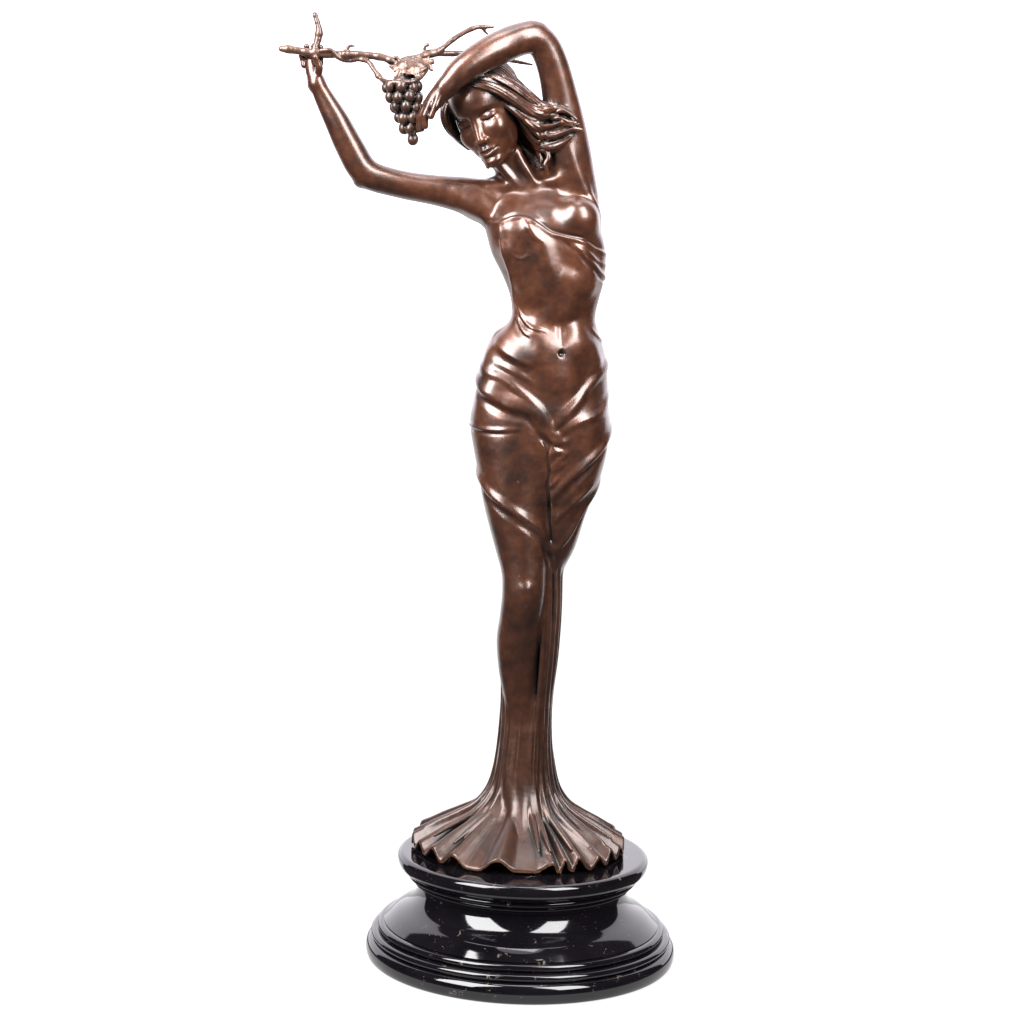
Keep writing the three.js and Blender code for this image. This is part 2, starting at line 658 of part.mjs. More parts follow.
// The plinth's outline from the middle of its underside to the middle of its top.
function plinthOutline() {
  const topRadius = hemRadius + ledgeWidth;
  const footRadius = topRadius + plinthSpread;
  const neckRadius = topRadius - neckInset;
  const ringInset = 9;
  const points = [
    [0, 0],
    [footRadius - 3, 0],
    [footRadius - 0.6, 3],
    [footRadius, footBandHeight * 0.5],
    [footRadius - 1.6, footBandHeight * 0.8],
  ];
  let z = footBandHeight;
  const round = (middleRadius, height, swell, steps) => {
    for (let i = 0; i < steps; i++) {
      const a = Math.PI * (i / (steps - 1) - 0.5);
      points.push([middleRadius + swell * Math.cos(a), z + height * (0.5 + 0.499 * Math.sin(a))]);
    }
    z += height;
  };
  round(footRadius - ringInset, footRingHeight, 3.2, 3);
  round(footRadius - ringInset - 5, footRingHeight, 3.2, 3);
  const neckFoot = footRadius - ringInset - 8;
  const neckSteps = 6;
  for (let i = 0; i < neckSteps; i++) {
    const t = i / (neckSteps - 1);
    const ease = 0.5 + 0.5 * Math.cos(Math.PI * t);
    points.push([neckRadius + (neckFoot - neckRadius) * ease, z + neckHeight * (0.01 + 0.98 * t)]);
  }
  z += neckHeight;
  round(neckRadius + 4, collarRingHeight, 2.4, 3);
  round(neckRadius + 8.5, collarRingHeight, 2.4, 3);
  // The top disc's rim is widest near its top and draws in towards the collar.
  const rim = [[8, 0.01], [4.6, 0.24], [1.4, 0.46], [0, 0.7], [1, 0.9], [4, 1]];
  for (const [inset, rise] of rim) points.push([topRadius - inset, z + topDiscHeight * rise]);
  points.push([0, z + topDiscHeight]);
  return points;
}

function plinthGeometry() {
  const outline = plinthOutline().map(([r, z]) => new THREE.Vector2(r, z));
  return new THREE.LatheGeometry(outline, plinthSides).rotateX(Math.PI / 2);
}

function solidGeometry(solid) {
  const { vertProperties, triVerts } = solid.getMesh();
  const geometry = new THREE.BufferGeometry();
  geometry.setAttribute("position", new THREE.BufferAttribute(new Float32Array(vertProperties), 3));
  geometry.setIndex(new THREE.BufferAttribute(new Uint32Array(triVerts), 1));
  geometry.computeVertexNormals();
  return geometry;
}

const bronze = new THREE.MeshStandardMaterial({ color: 0x5a3826, roughness: 0.3, metalness: 1 });
const marble = new THREE.MeshStandardMaterial({ color: 0x17151a, roughness: 0.12, metalness: 0 });

function namedMesh(name, geometry, material) {
  const mesh = new THREE.Mesh(geometry, material);
  mesh.name = name;
  return mesh;
}

const statue = new THREE.Group();
const bronzeWork = new THREE.Group();
bronzeWork.position.z = plinthHeight + seatGap;
bronzeWork.add(
  namedMesh("figure", solidGeometry(largestBody(figureSolid().subtract(vineSolid(gripGap)))), bronze),
  namedMesh("vine_branch", solidGeometry(vineSolid(0)), bronze),
);
statue.add(namedMesh("plinth", plinthGeometry(), marble), bronzeWork);

export default statue;
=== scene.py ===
"""A draped bronze woman who holds up a vine branch, on a turned black marble plinth.

Lengths in the tables are millimetres, +Z is up and -Y is the front. Heights of the bronze are over its seat
on the plinth, and heights of the plinth are over the floor.
The figure and the vine are each worked out as one skin: every form is a distance from its surface, held on a
grid of points, and the forms are blended into each other there, as clay is before a casting is made.
"""

import bpy
import numpy as np
from mathutils import Matrix


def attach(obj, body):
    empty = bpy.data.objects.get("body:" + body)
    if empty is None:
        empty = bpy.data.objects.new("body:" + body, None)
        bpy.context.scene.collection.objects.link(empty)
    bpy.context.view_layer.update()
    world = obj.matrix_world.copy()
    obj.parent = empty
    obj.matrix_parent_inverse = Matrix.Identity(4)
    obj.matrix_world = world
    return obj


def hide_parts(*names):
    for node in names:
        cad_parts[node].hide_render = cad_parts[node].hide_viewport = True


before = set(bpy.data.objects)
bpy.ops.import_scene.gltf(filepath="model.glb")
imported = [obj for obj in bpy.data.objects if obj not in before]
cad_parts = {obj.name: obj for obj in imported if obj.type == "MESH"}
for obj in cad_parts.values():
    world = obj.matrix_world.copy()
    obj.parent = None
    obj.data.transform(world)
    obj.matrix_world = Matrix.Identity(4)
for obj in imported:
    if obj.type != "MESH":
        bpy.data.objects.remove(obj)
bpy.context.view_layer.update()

bl_info = {
    "name": "Draped bronze on a marble plinth",
    "version": (1, 0, 0),
    "blender": (4, 5, 0),
    "location": "3D View > Sidebar > Statue",
    "description": "Makes a patinated bronze figure with a vine branch on a polished marble plinth",
    "category": "Add Mesh",
}

MM = 0.001
# The distance that stands for well outside a form, in millimetres.
FAR = 40.0
MOST_FIGURE_TRIANGLES = 180000
MOST_VINE_TRIANGLES = 120000

# The figure's forms

# Height, centre x and y, half width, half depth, turn in degrees.
TRUNK = [
    [296, 4, 1, 40, 24, 12], [330, 3, 1, 50, 32, 13], [352, 2.5, 2, 53, 35, 14],
    [371, 2.5, 2, 54.5, 36, 15], [392, 3.5, 2, 52.5, 34, 15], [411, 6, 1, 47.5, 31, 15],
    [429, 8.5, 0, 38.5, 28, 14], [441, 10, -1, 34, 26, 12], [456, 10.5, -2, 36, 26.5, 9],
    [472, 9, -3, 41, 28.5, 6], [488, 5, -3, 45.5, 30, 4], [502, 1.5, -3, 46.5, 30, 2],
    [514, -2, -2, 46, 28, 0], [526, -4, 0, 43, 24, 0], [537, -7, 3, 36, 18, 0], [546, -11, 5, 24, 14, 0],
    [553, -15, 5, 15, 12, 0],
]
GATHERED_CLOTH = [
    [30, -2, 2, 26, 26, 0], [73, -3, 1, 20.5, 22, 0], [98, -2, 2, 18.5, 20, 0], [112, -1.5, 3, 18.8, 19, 0],
    [134, -0.5, 5, 19.5, 17, 0], [152, 3, 6, 17, 14.5, 0], [168, 7, 6, 14.5, 13.5, 0],
    [200, 9, 5, 13.5, 12.5, 0], [235, 12, 5, 12, 11, 0], [250, 13, 5, 9, 9, 0],
]

# Rounded forms follow a path of x, y, height and radius.
FRONT_LEG = [
    [-22, -1, 352, 31], [-19, -6, 332, 29.5], [-15.5, -10, 296, 26.5], [-10, -14, 259, 21.5],
    [-7, -18, 236, 17.8], [-6.5, -19, 220, 17.2], [-8, -14, 198, 17], [-9.5, -9, 178, 17.6],
    [-9, -6, 152, 15.5], [-6.5, -5, 127, 12.6], [-5, -4, 98, 10.6],
]
# The forward foot under the spread cloth.
FOOT = [[-5, -4, 98, 10.6], [-4, -8, 66, 11.5], [-3, -20, 38, 11.5], [-2, -34, 23, 9]]
REAR_LEG = [
    [28, 2, 352, 29.5], [27, 2, 332, 28.5], [22, 2, 308, 27.5], [18, 1, 284, 23.5], [14, 1, 259, 20.5],
    [9, 3, 237, 16], [8, 6, 220, 14.5], [10, 12, 177, 13.5], [8, 12, 127, 10], [6, 11, 98, 8],
]
BREASTS = [[-21, -15, 508, 17.5], [26, -16, 518, 17.5]]
# Muscle and bone that show through: two ends, each x, y, height and radius, then the width of the blend.
BODY_FORMS = [
    ([[-5, -33.5, 224, 3.4], [-4.5, -33, 216, 3]], 6),
    ([[-16, 18, 372, 23], [-18, 16, 362, 22]], 12),
    ([[24, 17, 380, 22], [25, 15, 368, 21]], 12),
    ([[-26, 14, 512, 12], [-18, 15, 528, 9]], 10),
    ([[24, 15, 516, 12], [14, 15, 532, 9]], 10),
]
# Forms on the torso: a path of x and height seen from the front, the radius, how far it stands out, and the
# width of the blend.
TORSO_FORMS = [
    ([(16, 412), (16.5, 396)], 17, 2.6, 12),
    ([(-9, 510), (-3, 500), (1, 489), (6, 477), (10, 462), (12, 446)], 6, 2.3, 8),
    ([(-26, 490), (-19, 480), (-15, 470), (-7, 460)], 8, 2.2, 9),
    ([(30, 494), (35, 480), (36, 466)], 7, 2.2, 9),
    ([(22, 470), (22, 458), (21, 447)], 7, 1.2, 8),
    ([(-35, 424), (-27, 417), (-14, 410)], 7, 2, 9),
    ([(-40, 412), (-41, 398), (-38, 384)], 8, 1.6, 9),
    ([(27, 421), (38, 418), (44, 406)], 7, 2, 9),
    ([(-6, 426), (0, 418), (0, 408)], 8, 1.6, 9),
    ([(29, 430), (31, 421), (30, 413)], 6, 1.4, 8),
    ([(15, 407.4), (18, 406.8)], 4.2, 1.5, 4),
]
NECK = [[-9, 4, 528, 17], [-13.6, 2, 540, 15], [-24.3, 2, 553.8, 13.6], [-36, 0, 571, 14]]
SHOULDERS = [
    [[-20, 5, 547, 10], [-34, 4, 540, 12], [-50, 3, 531, 14]],
    [[-10, 5, 547, 10], [4, 4, 546, 12], [20, 3, 549, 15]],
]
BRANCH_ARM = [
    [-30, 5, 524, 17], [-49.9, 3, 529, 16.5], [-64, 1, 533.7, 14.8], [-83.3, -1, 536.6, 12.3],
    [-117.4, -5, 541.4, 11], [-141.9, -8, 549.2, 11.6], [-154.9, -10, 568.4, 11.2], [-165.4, -12, 588.2, 9.8],
    [-175.1, -13, 605, 7.8], [-181.6, -14, 617.1, 6.2],
]
BENT_ARM = [
    [22, 4, 500, 13], [26, 4, 522, 17.5], [21, 2, 552.9, 18], [14.2, -2, 587.9, 16.8], [9, -6, 614.8, 14],
    [1.6, -10, 640, 12.6], [-5.2, -12.5, 652.4, 12.4], [-13.6, -16, 657.4, 12.8], [-23.4, -20, 655.8, 12.8],
    [-38.6, -30, 648.5, 13], [-53.6, -38, 639.6, 12], [-68.6, -44, 627.8, 10.5], [-78.9, -47, 616, 7.8],
]
LIMB_FORMS = [
    ([[-42, -4, 533, 9], [-56, -4, 536.5, 9.5], [-69, -4, 537, 7]], 5),
    ([[-68, -5.5, 534, 7], [-58, -7, 528.5, 8.8], [-46, -8.5, 522, 8], [-37, -11, 515, 5]], 4),
    ([[-146.5, -6, 542, 4.5], [-144, -7, 545, 5]], 5),
    ([[-187, -12, 615, 2], [-185.5, -12, 613, 2]], 3),
    ([[31, -9, 541, 3], [36.5, -11, 532, 4.4], [40.5, -9, 521, 4.6], [41, -6, 510, 3.5]], 3),
    ([[13, -14, 580, 3], [18.5, -14, 567.5, 4], [24, -12.5, 554, 4.6], [30, -11, 542, 4]], 6),
    ([[-9, -15, 664.2, 4.4], [-14, -16, 665, 4.2]], 5),
    ([[-82, -52, 616.5, 1.8], [-81, -51, 614.5, 2]], 3),
    # the two cords of the neck and the collar bones
    ([[-24, -8, 570, 4.2], [-20.5, -10.5, 562.5, 3.8], [-14.5, -11.4, 554, 3.2], [-8.5, -10.6, 545.5, 2.2]],
      4),
    ([[-41, -9, 565, 3.8], [-36, -10.5, 557.5, 3.5], [-30, -10.8, 551, 3], [-20.5, -9.6, 541.5, 2]], 4),
    ([[-19, -8.2, 541.5, 2], [-30, -9.2, 542, 2.6], [-42, -7.5, 541, 3]], 6),
    ([[-5, -8.2, 544.5, 2], [5, -9.2, 547.5, 2.4], [15, -10, 551.5, 3]], 6),
]
BRANCH_HAND = [
    [[-181.6, -14, 617.1, 6], [-184.5, -11.5, 626, 6.5], [-186, -9.5, 633, 6]],
    [[-180, -8.5, 633, 2.6], [-179.5, -8.5, 640, 2.5], [-179.5, -12, 645, 2.2]],
    [[-184.5, -8, 634, 2.7], [-184.5, -8, 641.5, 2.6], [-185, -12, 646, 2.2]],
    [[-189, -8.5, 633, 2.6], [-190, -8.5, 640.5, 2.5], [-190.5, -12, 645.5, 2.1]],
    [[-192.5, -9.5, 631, 2.3], [-194.5, -9.5, 638, 2.2], [-195.5, -13, 643, 1.9]],
    [[-181, -16, 621, 3], [-179.5, -19.5, 629, 2.8], [-182.5, -21.5, 637, 2.3]],
]
BENT_HAND = [
    [[-78.9, -47, 616, 7], [-85, -46, 609, 7.4], [-90, -45, 602.5, 6.6]],
    [[-90.5, -50, 603, 3.2], [-94, -50.5, 594, 3], [-94, -49.5, 586, 2.3]],
    [[-93, -46.5, 603, 3.3], [-97, -46.5, 593.5, 3], [-97, -45, 584, 2.3]],
    [[-94, -42, 602, 3.1], [-98.5, -41.5, 593, 2.9], [-99, -40, 583.5, 2.2]],
    [[-93, -38, 602, 2.8], [-98.5, -37, 594, 2.6], [-100, -35.5, 586, 2]],
    [[-84, -51.5, 609, 3], [-86.5, -54, 601, 2.8], [-89.5, -54.5, 593.5, 2.3]],
]

# The gown

# Share of the skirt's spread, height of the crests, depth of the pleats in shares of the lift at the hem.
CREST_LINE = [
    [1, 12, 1], [0.88, 17, 0.96], [0.7, 24, 0.84], [0.5, 31, 0.68], [0.32, 38, 0.52], [0.18, 48, 0.38],
    [0.09, 64, 0.24], [0.02, 92, 0.1], [-0.08, 128, 0],
]
GATHER_RADIUS = 19
# Where the pleats' crests stand in degrees from the front, and how high each one is beside the highest.
PLEATS = [
    (-153, 0.8), (-137, 1), (-125, 0.75), (-112, 1), (-97, 0.8), (-83, 1), (-70, 0.75), (-52, 0.95),
    (-37, 0.8), (-11, 0.9), (19, 0.7), (26, 0.9), (34, 1), (48, 0.8), (60, 1), (73, 0.8), (88, 1),
    (102, 0.85), (116, 1), (131, 0.75), (146, 1), (161, 0.8), (176, 1), (192, 0.85),
]
# Folds of the hanging cloth beside the legs: path of x, y, height and radius, then the turn of the pleat that
# the fold runs into.
HANGING_FOLDS = [
    ([[6, -12, 246, 3], [6, -11, 212, 3.6], [4.5, -9, 162, 4.2], [3, -9, 116, 4]], 12),
    ([[10, -18, 246, 1.6], [10.5, -17, 212, 2.2], [10, -15.5, 162, 2.2], [8, -14, 116, 2.2]], 19),
    ([[13.5, -16, 246, 1.8], [14.5, -14.5, 212, 2.3], [13.5, -12.5, 162, 2.2], [11.5, -11, 116, 2.2]], 33),
    ([[17, -12, 246, 2], [18.5, -10, 212, 2.4], [17, -8.5, 162, 2.3], [14.5, -7, 116, 2.3]], 48),
    ([[20, -7, 246, 2.2], [21.5, -5, 212, 2.4], [20, -4, 162, 2.3], [16.5, -3, 116, 2.3]], 60),
    ([[21, -1, 250, 2.2], [22.8, 1, 212, 2.4], [21.6, 2, 167, 2.3], [17.5, 2, 118, 2.3]], 73),
    ([[17, 8, 240, 2.4], [19, 9, 205, 2.4], [18.5, 10, 160, 2.3], [16, 10, 116, 2.3]], 102),
    ([[-22, 3, 148, 1.4], [-20.5, 4, 124, 2.2]], -83),
    ([[-19.5, -2, 134, 1.4], [-19, -3, 110, 2.2]], -62),
    ([[-16, -8, 118, 1.3], [-16, -10, 98, 2.1]], -42),
]
# Folds over the body, their radius, and whether a groove runs above (1) or below (-1) them.
# A path is of turn in degrees from the front and height.
FOLDS_ROUND = [
    ([(-150, 412), (-115, 402), (-85, 393), (-60, 380.5), (-36, 370), (-12, 366), (3, 358), (18, 346)],
      3, -1),
    ([(-72, 386), (-43, 377), (-20, 372), (-4, 364), (9, 356)], 2, 0),
    ([(-90, 404), (-64, 397), (-43, 391), (-26, 382), (-11, 374), (3, 365.5), (16, 352)], 2, 0),
    ([(-66, 419), (-50, 413), (-29, 406), (-16, 403)], 1.6, 0),
    ([(-60, 405), (-44, 400), (-28, 395), (-12, 389)], 1.6, 0),
    ([(130, 410), (100, 404), (69, 391), (46, 374), (25, 359), (17, 353)], 2.4, 0),
    ([(110, 388), (78, 368), (45, 358), (19, 346)], 1.8, 0),
    ([(150, 380), (120, 368), (90, 349), (68, 332), (40, 311), (24, 298), (15, 289)], 2.6, -1),
    ([(73, 307), (54, 295), (25, 275)], 1.5, 0),
    ([(130, 322), (100, 310), (74, 290), (56, 266), (35, 251)], 2, -1),
    ([(-120, 356), (-84, 352), (-49, 350), (-24, 352)], 1.3, -1),
    ([(-150, 336), (-110, 324), (-72, 309), (-51, 297), (-25, 284), (4, 270), (22, 258), (58, 240)],
      2.6, -1),
    ([(14, 332), (25, 337), (37, 345)], 1.5, 0),
    ([(15, 320), (25, 325), (37, 335)], 1.4, 0),
    ([(13, 304), (22, 309), (34, 318)], 1.1, 0),
    ([(-13, 364), (-2, 355), (4, 344), (5, 332)], 1.6, 0),
    ([(-170, 500), (-140, 503), (-110, 508), (-80, 512), (-52, 514), (-37, 518), (-20, 518), (-4, 513),
      (10, 507), (22, 505), (48, 501), (72, 494), (110, 490), (150, 494), (190, 500)], 1.25, 1),
    ([(30, 502), (40, 496), (50, 487), (62, 481), (80, 474), (110, 470), (140, 474)], 1.4, -1),
    ([(36, 497), (48, 494), (66, 486), (88, 482)], 1, 0),
    ([(-54, 513), (-55, 500), (-57, 485), (-62, 470), (-72, 452)], 1.1, 0),
    ([(-64, 448), (-52, 440), (-38, 434.5), (-23, 431), (-8, 430)], 1.1, -1),
    ([(-64, 442), (-50, 434), (-36, 428), (-24, 425)], 1, -1),
    ([(70, 432), (88, 424), (110, 418)], 1.2, 0),
    ([(-175, 384), (-150, 372), (-120, 362)], 2, 0),
    ([(170, 362), (150, 344), (128, 330)], 2, 0),
    ([(160, 300), (140, 288), (112, 270)], 1.8, 0),
    ([(-165, 310), (-140, 300), (-112, 288)], 1.8, 0),
    ([(180, 470), (176, 446), (172, 426)], 1.2, 0),
]
# A path is of x and height, seen from the front.
FOLDS_IN_FRONT = [
    ([(-17, 517), (-11, 510), (-6, 503), (0, 500)], 1.4, 0),
    ([(-24, 489), (-17, 486), (-11, 489)], 0.7, 0),
    ([(3, 353), (9, 347), (15, 342), (20, 344)], 2.3, -1),
    ([(8, 353), (14, 349), (19, 345)], 1.6, 0),
    ([(12, 339), (16, 335), (21, 334)], 1.4, 0),
    ([(12, 318), (17, 321), (23, 326)], 1.3, 0),
    ([(11, 298), (13, 288), (14, 274), (16, 262)], 1.1, 0),
]
# Narrow hollows over the body: path seen from the front, radius, depth.
HOLLOWS_IN_FRONT = [
    ([(10.5, 340), (9, 330), (10.8, 318), (9.6, 306), (11.6, 292), (12, 280), (14, 262)], 1.3, 1.1),
    ([(17.3, 413.9), (17.2, 412)], 2.7, 3.4),
    ([(15, 440), (16.2, 430), (17, 420)], 3.4, 0.7),
]

# The bronze's surface

# Spots where the patina has worn through to bare metal on the thigh and the knee: x, y, height and radius.
BARE_SPOTS = [(-12.5, -38, 310, 6.5), (-3.5, -37, 231, 6), (-10.5, -36, 235, 4)]
# The share of bare metal in the shine of the browned surface.
BARE_METAL_SHARE = 0.45

# The head

HEAD_MIDDLE = (-48, -12, 598)
HEAD_FORWARD = (-0.33, -0.9, -0.28)
HEAD_UP = (-0.42, -0.12, 0.9)
# Masses in the head's own frame: centre and half sizes, each sideways, forward and upward.
HEAD_MASSES = [
    ([0, -4, 12], [26, 32.5, 28]), ([0, 6, -12], [21, 21, 26.5]), ([0, 20, -33], [8.5, 8.5, 6.5]),
    ([12.5, 16, -10], [8, 9, 9]), ([-12.5, 16, -10], [8, 9, 9]), ([0, 14, -23], [11.5, 13, 8.5]),
]
EYE_SIDE = 10.4
MOUTH_HALF = 8.6
CAP = ([0, -9, 15], [29, 34.5, 30.5])

# Locks of hair: path of x, y, height and radius, then flatness and number of strands.
HAIR_LOCKS = [
    ([[-73, -27, 615, 2.8], [-64, -35, 619.5, 4], [-50, -39, 619, 4.7], [-38, -36.5, 615.5, 5],
      [-28, -32, 610.5, 5.2], [-19, -27, 605, 5.2], [-11, -23, 600.8, 5], [-2, -21, 600.4, 4.6],
      [7, -21, 602.8, 4], [15, -21.5, 601.4, 3.2], [22.5, -22, 596, 1.5]], 0.66, 9),
    ([[-36, -30, 608, 3], [-28, -28, 603, 4.2], [-21, -25, 598.5, 4.6], [-13, -22, 595.4, 4.6],
      [-5, -20, 595.4, 4.2], [2, -20.5, 597.4, 3.6], [9, -21, 596.8, 3], [16, -22, 594, 2.4],
      [22, -22.5, 593, 1.3]], 0.66, 8),
    ([[-22, -25, 599, 3], [-14, -23, 592, 3.8], [-5, -21, 588.4, 3.9], [3, -21, 589.4, 3.4],
      [11, -22, 592, 2.8], [19, -22.5, 591, 1.4]], 0.66, 8),
    ([[-24, -22, 600, 3.4], [-15.5, -20, 594, 4.4], [-9, -18, 587, 4.8], [-2.5, -17.5, 582.6, 4.8],
      [5, -18.5, 582, 4.4], [13, -20, 584.8, 3.8], [20.5, -20.5, 587.6, 2.9], [27.5, -20, 587.4, 1.5]],
      0.66, 9),
    ([[-22, -17, 596, 3.6], [-15, -14, 587.5, 4.6], [-8.5, -13, 579.5, 5], [-1, -14, 574.8, 5],
      [7, -16, 573.8, 4.4], [14, -17.5, 577.5, 3.4], [18.5, -18, 581.5, 1.7]], 0.66, 9),
    ([[-20, -11, 590, 4], [-13, -10, 581, 4.6], [-6, -11.5, 574, 4.6], [1.5, -13.5, 570.8, 3.8],
      [8, -15.5, 571.6, 2.4]], 0.66, 8),
    ([[-5, -10, 579, 3], [-1, -13.5, 571.5, 3.3], [2, -15.5, 565.5, 3.3], [-0.4, -16.5, 560, 3.1],
      [0.8, -17, 556, 2.4], [2, -17, 552.6, 1.1]], 0.7, 7),
    ([[-9, -7, 575, 3], [-5.5, -10, 568, 3], [-3.5, -12, 562.5, 2.6], [-4.6, -12.6, 558.6, 1.3]], 0.75, 6),
    ([[-66, -20, 626, 3], [-52, -29, 628, 4.6], [-38, -29.5, 624.6, 5.4], [-25, -24.5, 618, 5.6],
      [-14, -19.5, 611, 5.4], [-4, -16, 605.4, 4.8], [6, -16, 605.4, 3.6], [14, -18, 605.2, 1.8]],
      0.66, 10),
    ([[-56, -6, 632, 5], [-43, -10, 631.4, 6.4], [-31, -9, 626, 6.8], [-21, -7, 618, 6.6],
      [-12, -6, 611, 6], [-4, -7, 605, 4.8], [5, -10, 600, 3]], 0.66, 10),
    ([[-42, 12, 628, 8], [-28, 12, 620, 9.5], [-14, 8, 606, 9.5], [-5, 3, 596, 8], [3, -3, 588, 5]],
      0.7, 11),
    ([[-42, 16, 612, 10], [-28, 16, 600, 11], [-16, 10, 588, 10.5], [-7, 4, 577, 9], [0, 0, 567, 7],
      [4, -2, 558, 4.5]], 0.8, 12),
    ([[-46, 18, 600, 8], [-34, 18, 584, 9.5], [-21, 14, 572, 9.5], [-9, 9, 562, 8.4], [1, 5, 553, 7],
      [8, 4, 545, 5]], 0.8, 10),
    ([[-62, 10, 622, 7], [-68, 8, 606, 8], [-66, 6, 590, 7.4], [-58, 6, 577, 6], [-50, 8, 566, 4.6],
      [-46, 9, 557, 2.4]], 0.75, 10),
    ([[-66, -14, 622, 4], [-76, -12, 611, 6], [-80.5, -13, 598, 6.4], [-78, -13, 587, 5.4],
      [-70, -9, 578, 3.6]], 0.7, 9),
    ([[-24, -12, 602, 6], [-12, -11, 594, 9], [0, -12.5, 588.5, 9.6], [10, -15, 588.5, 8],
      [18, -17.5, 591, 4.6], [24, -19, 592, 1.6]], 0.6, 9),
    ([[-20, -9, 590, 7], [-8, -9, 581, 8.6], [3, -12, 577.5, 7.6], [12, -15.5, 579.5, 5],
      [17, -17, 583, 2]], 0.6, 8),
    ([[-66, -4, 618, 5], [-76, -4, 606, 6.4], [-77, -4, 592, 6.2], [-71, -3, 580, 4.8], [-62, 0, 571, 2.6]],
      0.75, 9),
]

# The vine

VINE_STEMS = [
    [[-209.8, -14, 643, 2.6], [-197.8, -14, 642.1, 3.2], [-180.6, -15, 639.7, 3.2],
     [-162.6, -16, 640.2, 2.9], [-140.4, -18, 639.8, 3], [-125.3, -20, 637.1, 2.8], [-118, -20, 632, 2.4]],
    [[-182.6, -15.5, 632, 1.9], [-183.8, -15, 642.5, 2.6], [-182, -13, 649.6, 2.9],
     [-180.8, -12, 657.4, 2.6], [-182.5, -11, 664.3, 2.2], [-184.8, -10, 670.9, 1.5]],
    [[-178.5, -18, 642.4, 1.8], [-170.4, -19, 642.7, 1.8], [-164.4, -18, 637, 1.8],
     [-156.4, -15, 635.4, 1.8], [-149.5, -18, 636.5, 1.8], [-141.2, -20, 634.7, 1.8],
     [-135.8, -23, 627.9, 1.9], [-129.4, -28, 621, 2], [-124, -35, 619.2, 2], [-114.2, -40, 619.1, 2],
     [-105.1, -37, 620.2, 2], [-99.5, -30, 623.8, 1.8], [-95.1, -22, 633, 1.6]],
    [[-120, -20, 633, 2.2], [-114.2, -20, 636.7, 2.4], [-101.7, -16, 640.1, 2.6], [-88, -11, 644.5, 2.7]],
    [[-92, -12, 643, 2.5], [-85.4, -10, 646.6, 2.2], [-73.9, -6, 656.4, 2], [-58.7, -2, 664.8, 1.9],
     [-45.6, 2, 665.9, 1.2]],
    [[-92, -12, 643, 2.4], [-75.9, -4, 644, 2.3], [-58.8, 4, 645, 2.3], [-36, 8, 641.5, 2.1],
     [-13.6, 10, 638, 0.8]],
    [[-159.5, -17, 640.6, 1.6], [-156.6, -17, 646.7, 1.3], [-152.6, -17, 646.8, 0.8]],
    [[-98, -14, 643, 1.4], [-97.4, -15, 648.4, 1.2], [-95.6, -15, 649.6, 1.6]],
    [[-54, -1, 665.4, 1.5], [-51, 1, 661.6, 1], [-49.4, 2, 660.4, 0.8]],
    [[-122, -20, 636.5, 1.5], [-119.4, -22, 639.2, 1.4], [-116.6, -23, 636, 1]],
]
VINE_KNOTS = [
    [-205, -14, 643, 3.6], [-183, -15, 641, 3.9], [-160, -17, 640, 3.4], [-124, -20, 636.4, 3.4],
    [-94, -12, 643, 3.6], [-181, -12.5, 655.5, 3.3], [-184.4, -10.4, 669.6, 1.9], [-133, -25, 624, 2.5],
]
BUNCH_TOP = (-114, -27, 616)
BUNCH_TIP = (-104.5, -27, 577)
# Share of the way down the bunch, number of grapes, spread of the round in grape radii.
BUNCH_ROUNDS = [(0, 8, 2.8), (0.2, 8, 2.6), (0.4, 7, 2.2), (0.6, 6, 1.75), (0.8, 4, 1.2), (1, 1, 0)]
# Leaves: middle, the direction that the blade faces, the direction of its tip, size.
LEAVES = [
    ((-114.5, -27, 630.5), (-0.2, -0.75, 0.62), (-0.7, 0.1, 0.1), 10.5),
    ((-104.5, -29, 630), (0.1, -0.85, 0.5), (0.3, -0.1, -0.9), 9.5),
    ((-96.5, -18, 636), (0.35, -0.8, 0.45), (0.8, 0.2, 0.3), 9),
]

# The plinth

FOOT_RADIUS = 127.5
TOP_RADIUS = 103
PLINTH_TOP = 88.1
SEAT = PLINTH_TOP + 0.3
PLINTH_SIDES = 144
# Edges of the plinth that turn by more than this many degrees are sharp.
SHARP_TURN = 38
# The foot band's edge: how far it stands inside the foot's radius, and its height.
FOOT_EDGE = [
    (3.6, 0), (2.4, 0.5), (1.2, 1.8), (0.3, 4.4), (0, 7.6), (0.2, 10.4), (0.9, 12.8), (2.2, 14.6), (4, 15.9),
    (6.1, 16.4), (7.4, 16.5),
]
# Radius and height of the swept waist, with a zero between them for the curve that is drawn through the rows.
WAIST = [
    [112.9, 0, 30.2], [109.8, 0, 33], [106.4, 0, 36], [102.4, 0, 39], [97.6, 0, 42], [93.2, 0, 45],
    [90, 0, 48], [87.7, 0, 51], [86, 0, 54], [84.9, 0, 57], [84.2, 0, 60], [84, 0, 62.6],
]

# The stage, in metres

FLOOR_RADIUS = 9
FLOOR_SIDES = 96
# The floor lies this far under the plinth.
FLOOR_DROP = 0.0004
# The dark sheets that stand for the unlit room, and give painted shade in what mirrors them, reach between
# # these turns in degrees from the front, in this many strips.
DARK_ROOM_TURN = 126
DARK_ROOM_STRIPS = 36
# Name, place, width and height, and power in watts of each light.
LIGHTS = [
    ("left_box", (-1.15, -1.02, 1.6), (1.1, 1.9), 140),
    ("right_box", (0.97, -1.1, 1.65), (0.85, 1.7), 88),
    ("ceiling_box", (0, 0.1, 2.9), (0.9, 0.6), 14),
]
LIT_PLACE = (-0.03, 0, 0.42)
ROOM_COLOUR = (0.96, 0.92, 1, 1)
ROOM_STRENGTH = 2.2
CAMERA_PLACE = (0, -1.9362, 0.6355)
CAMERA_RIGHT = (0.99940, 0.01368, 0.03171)
CAMERA_UP = (-0.03328, 0.13565, 0.99020)


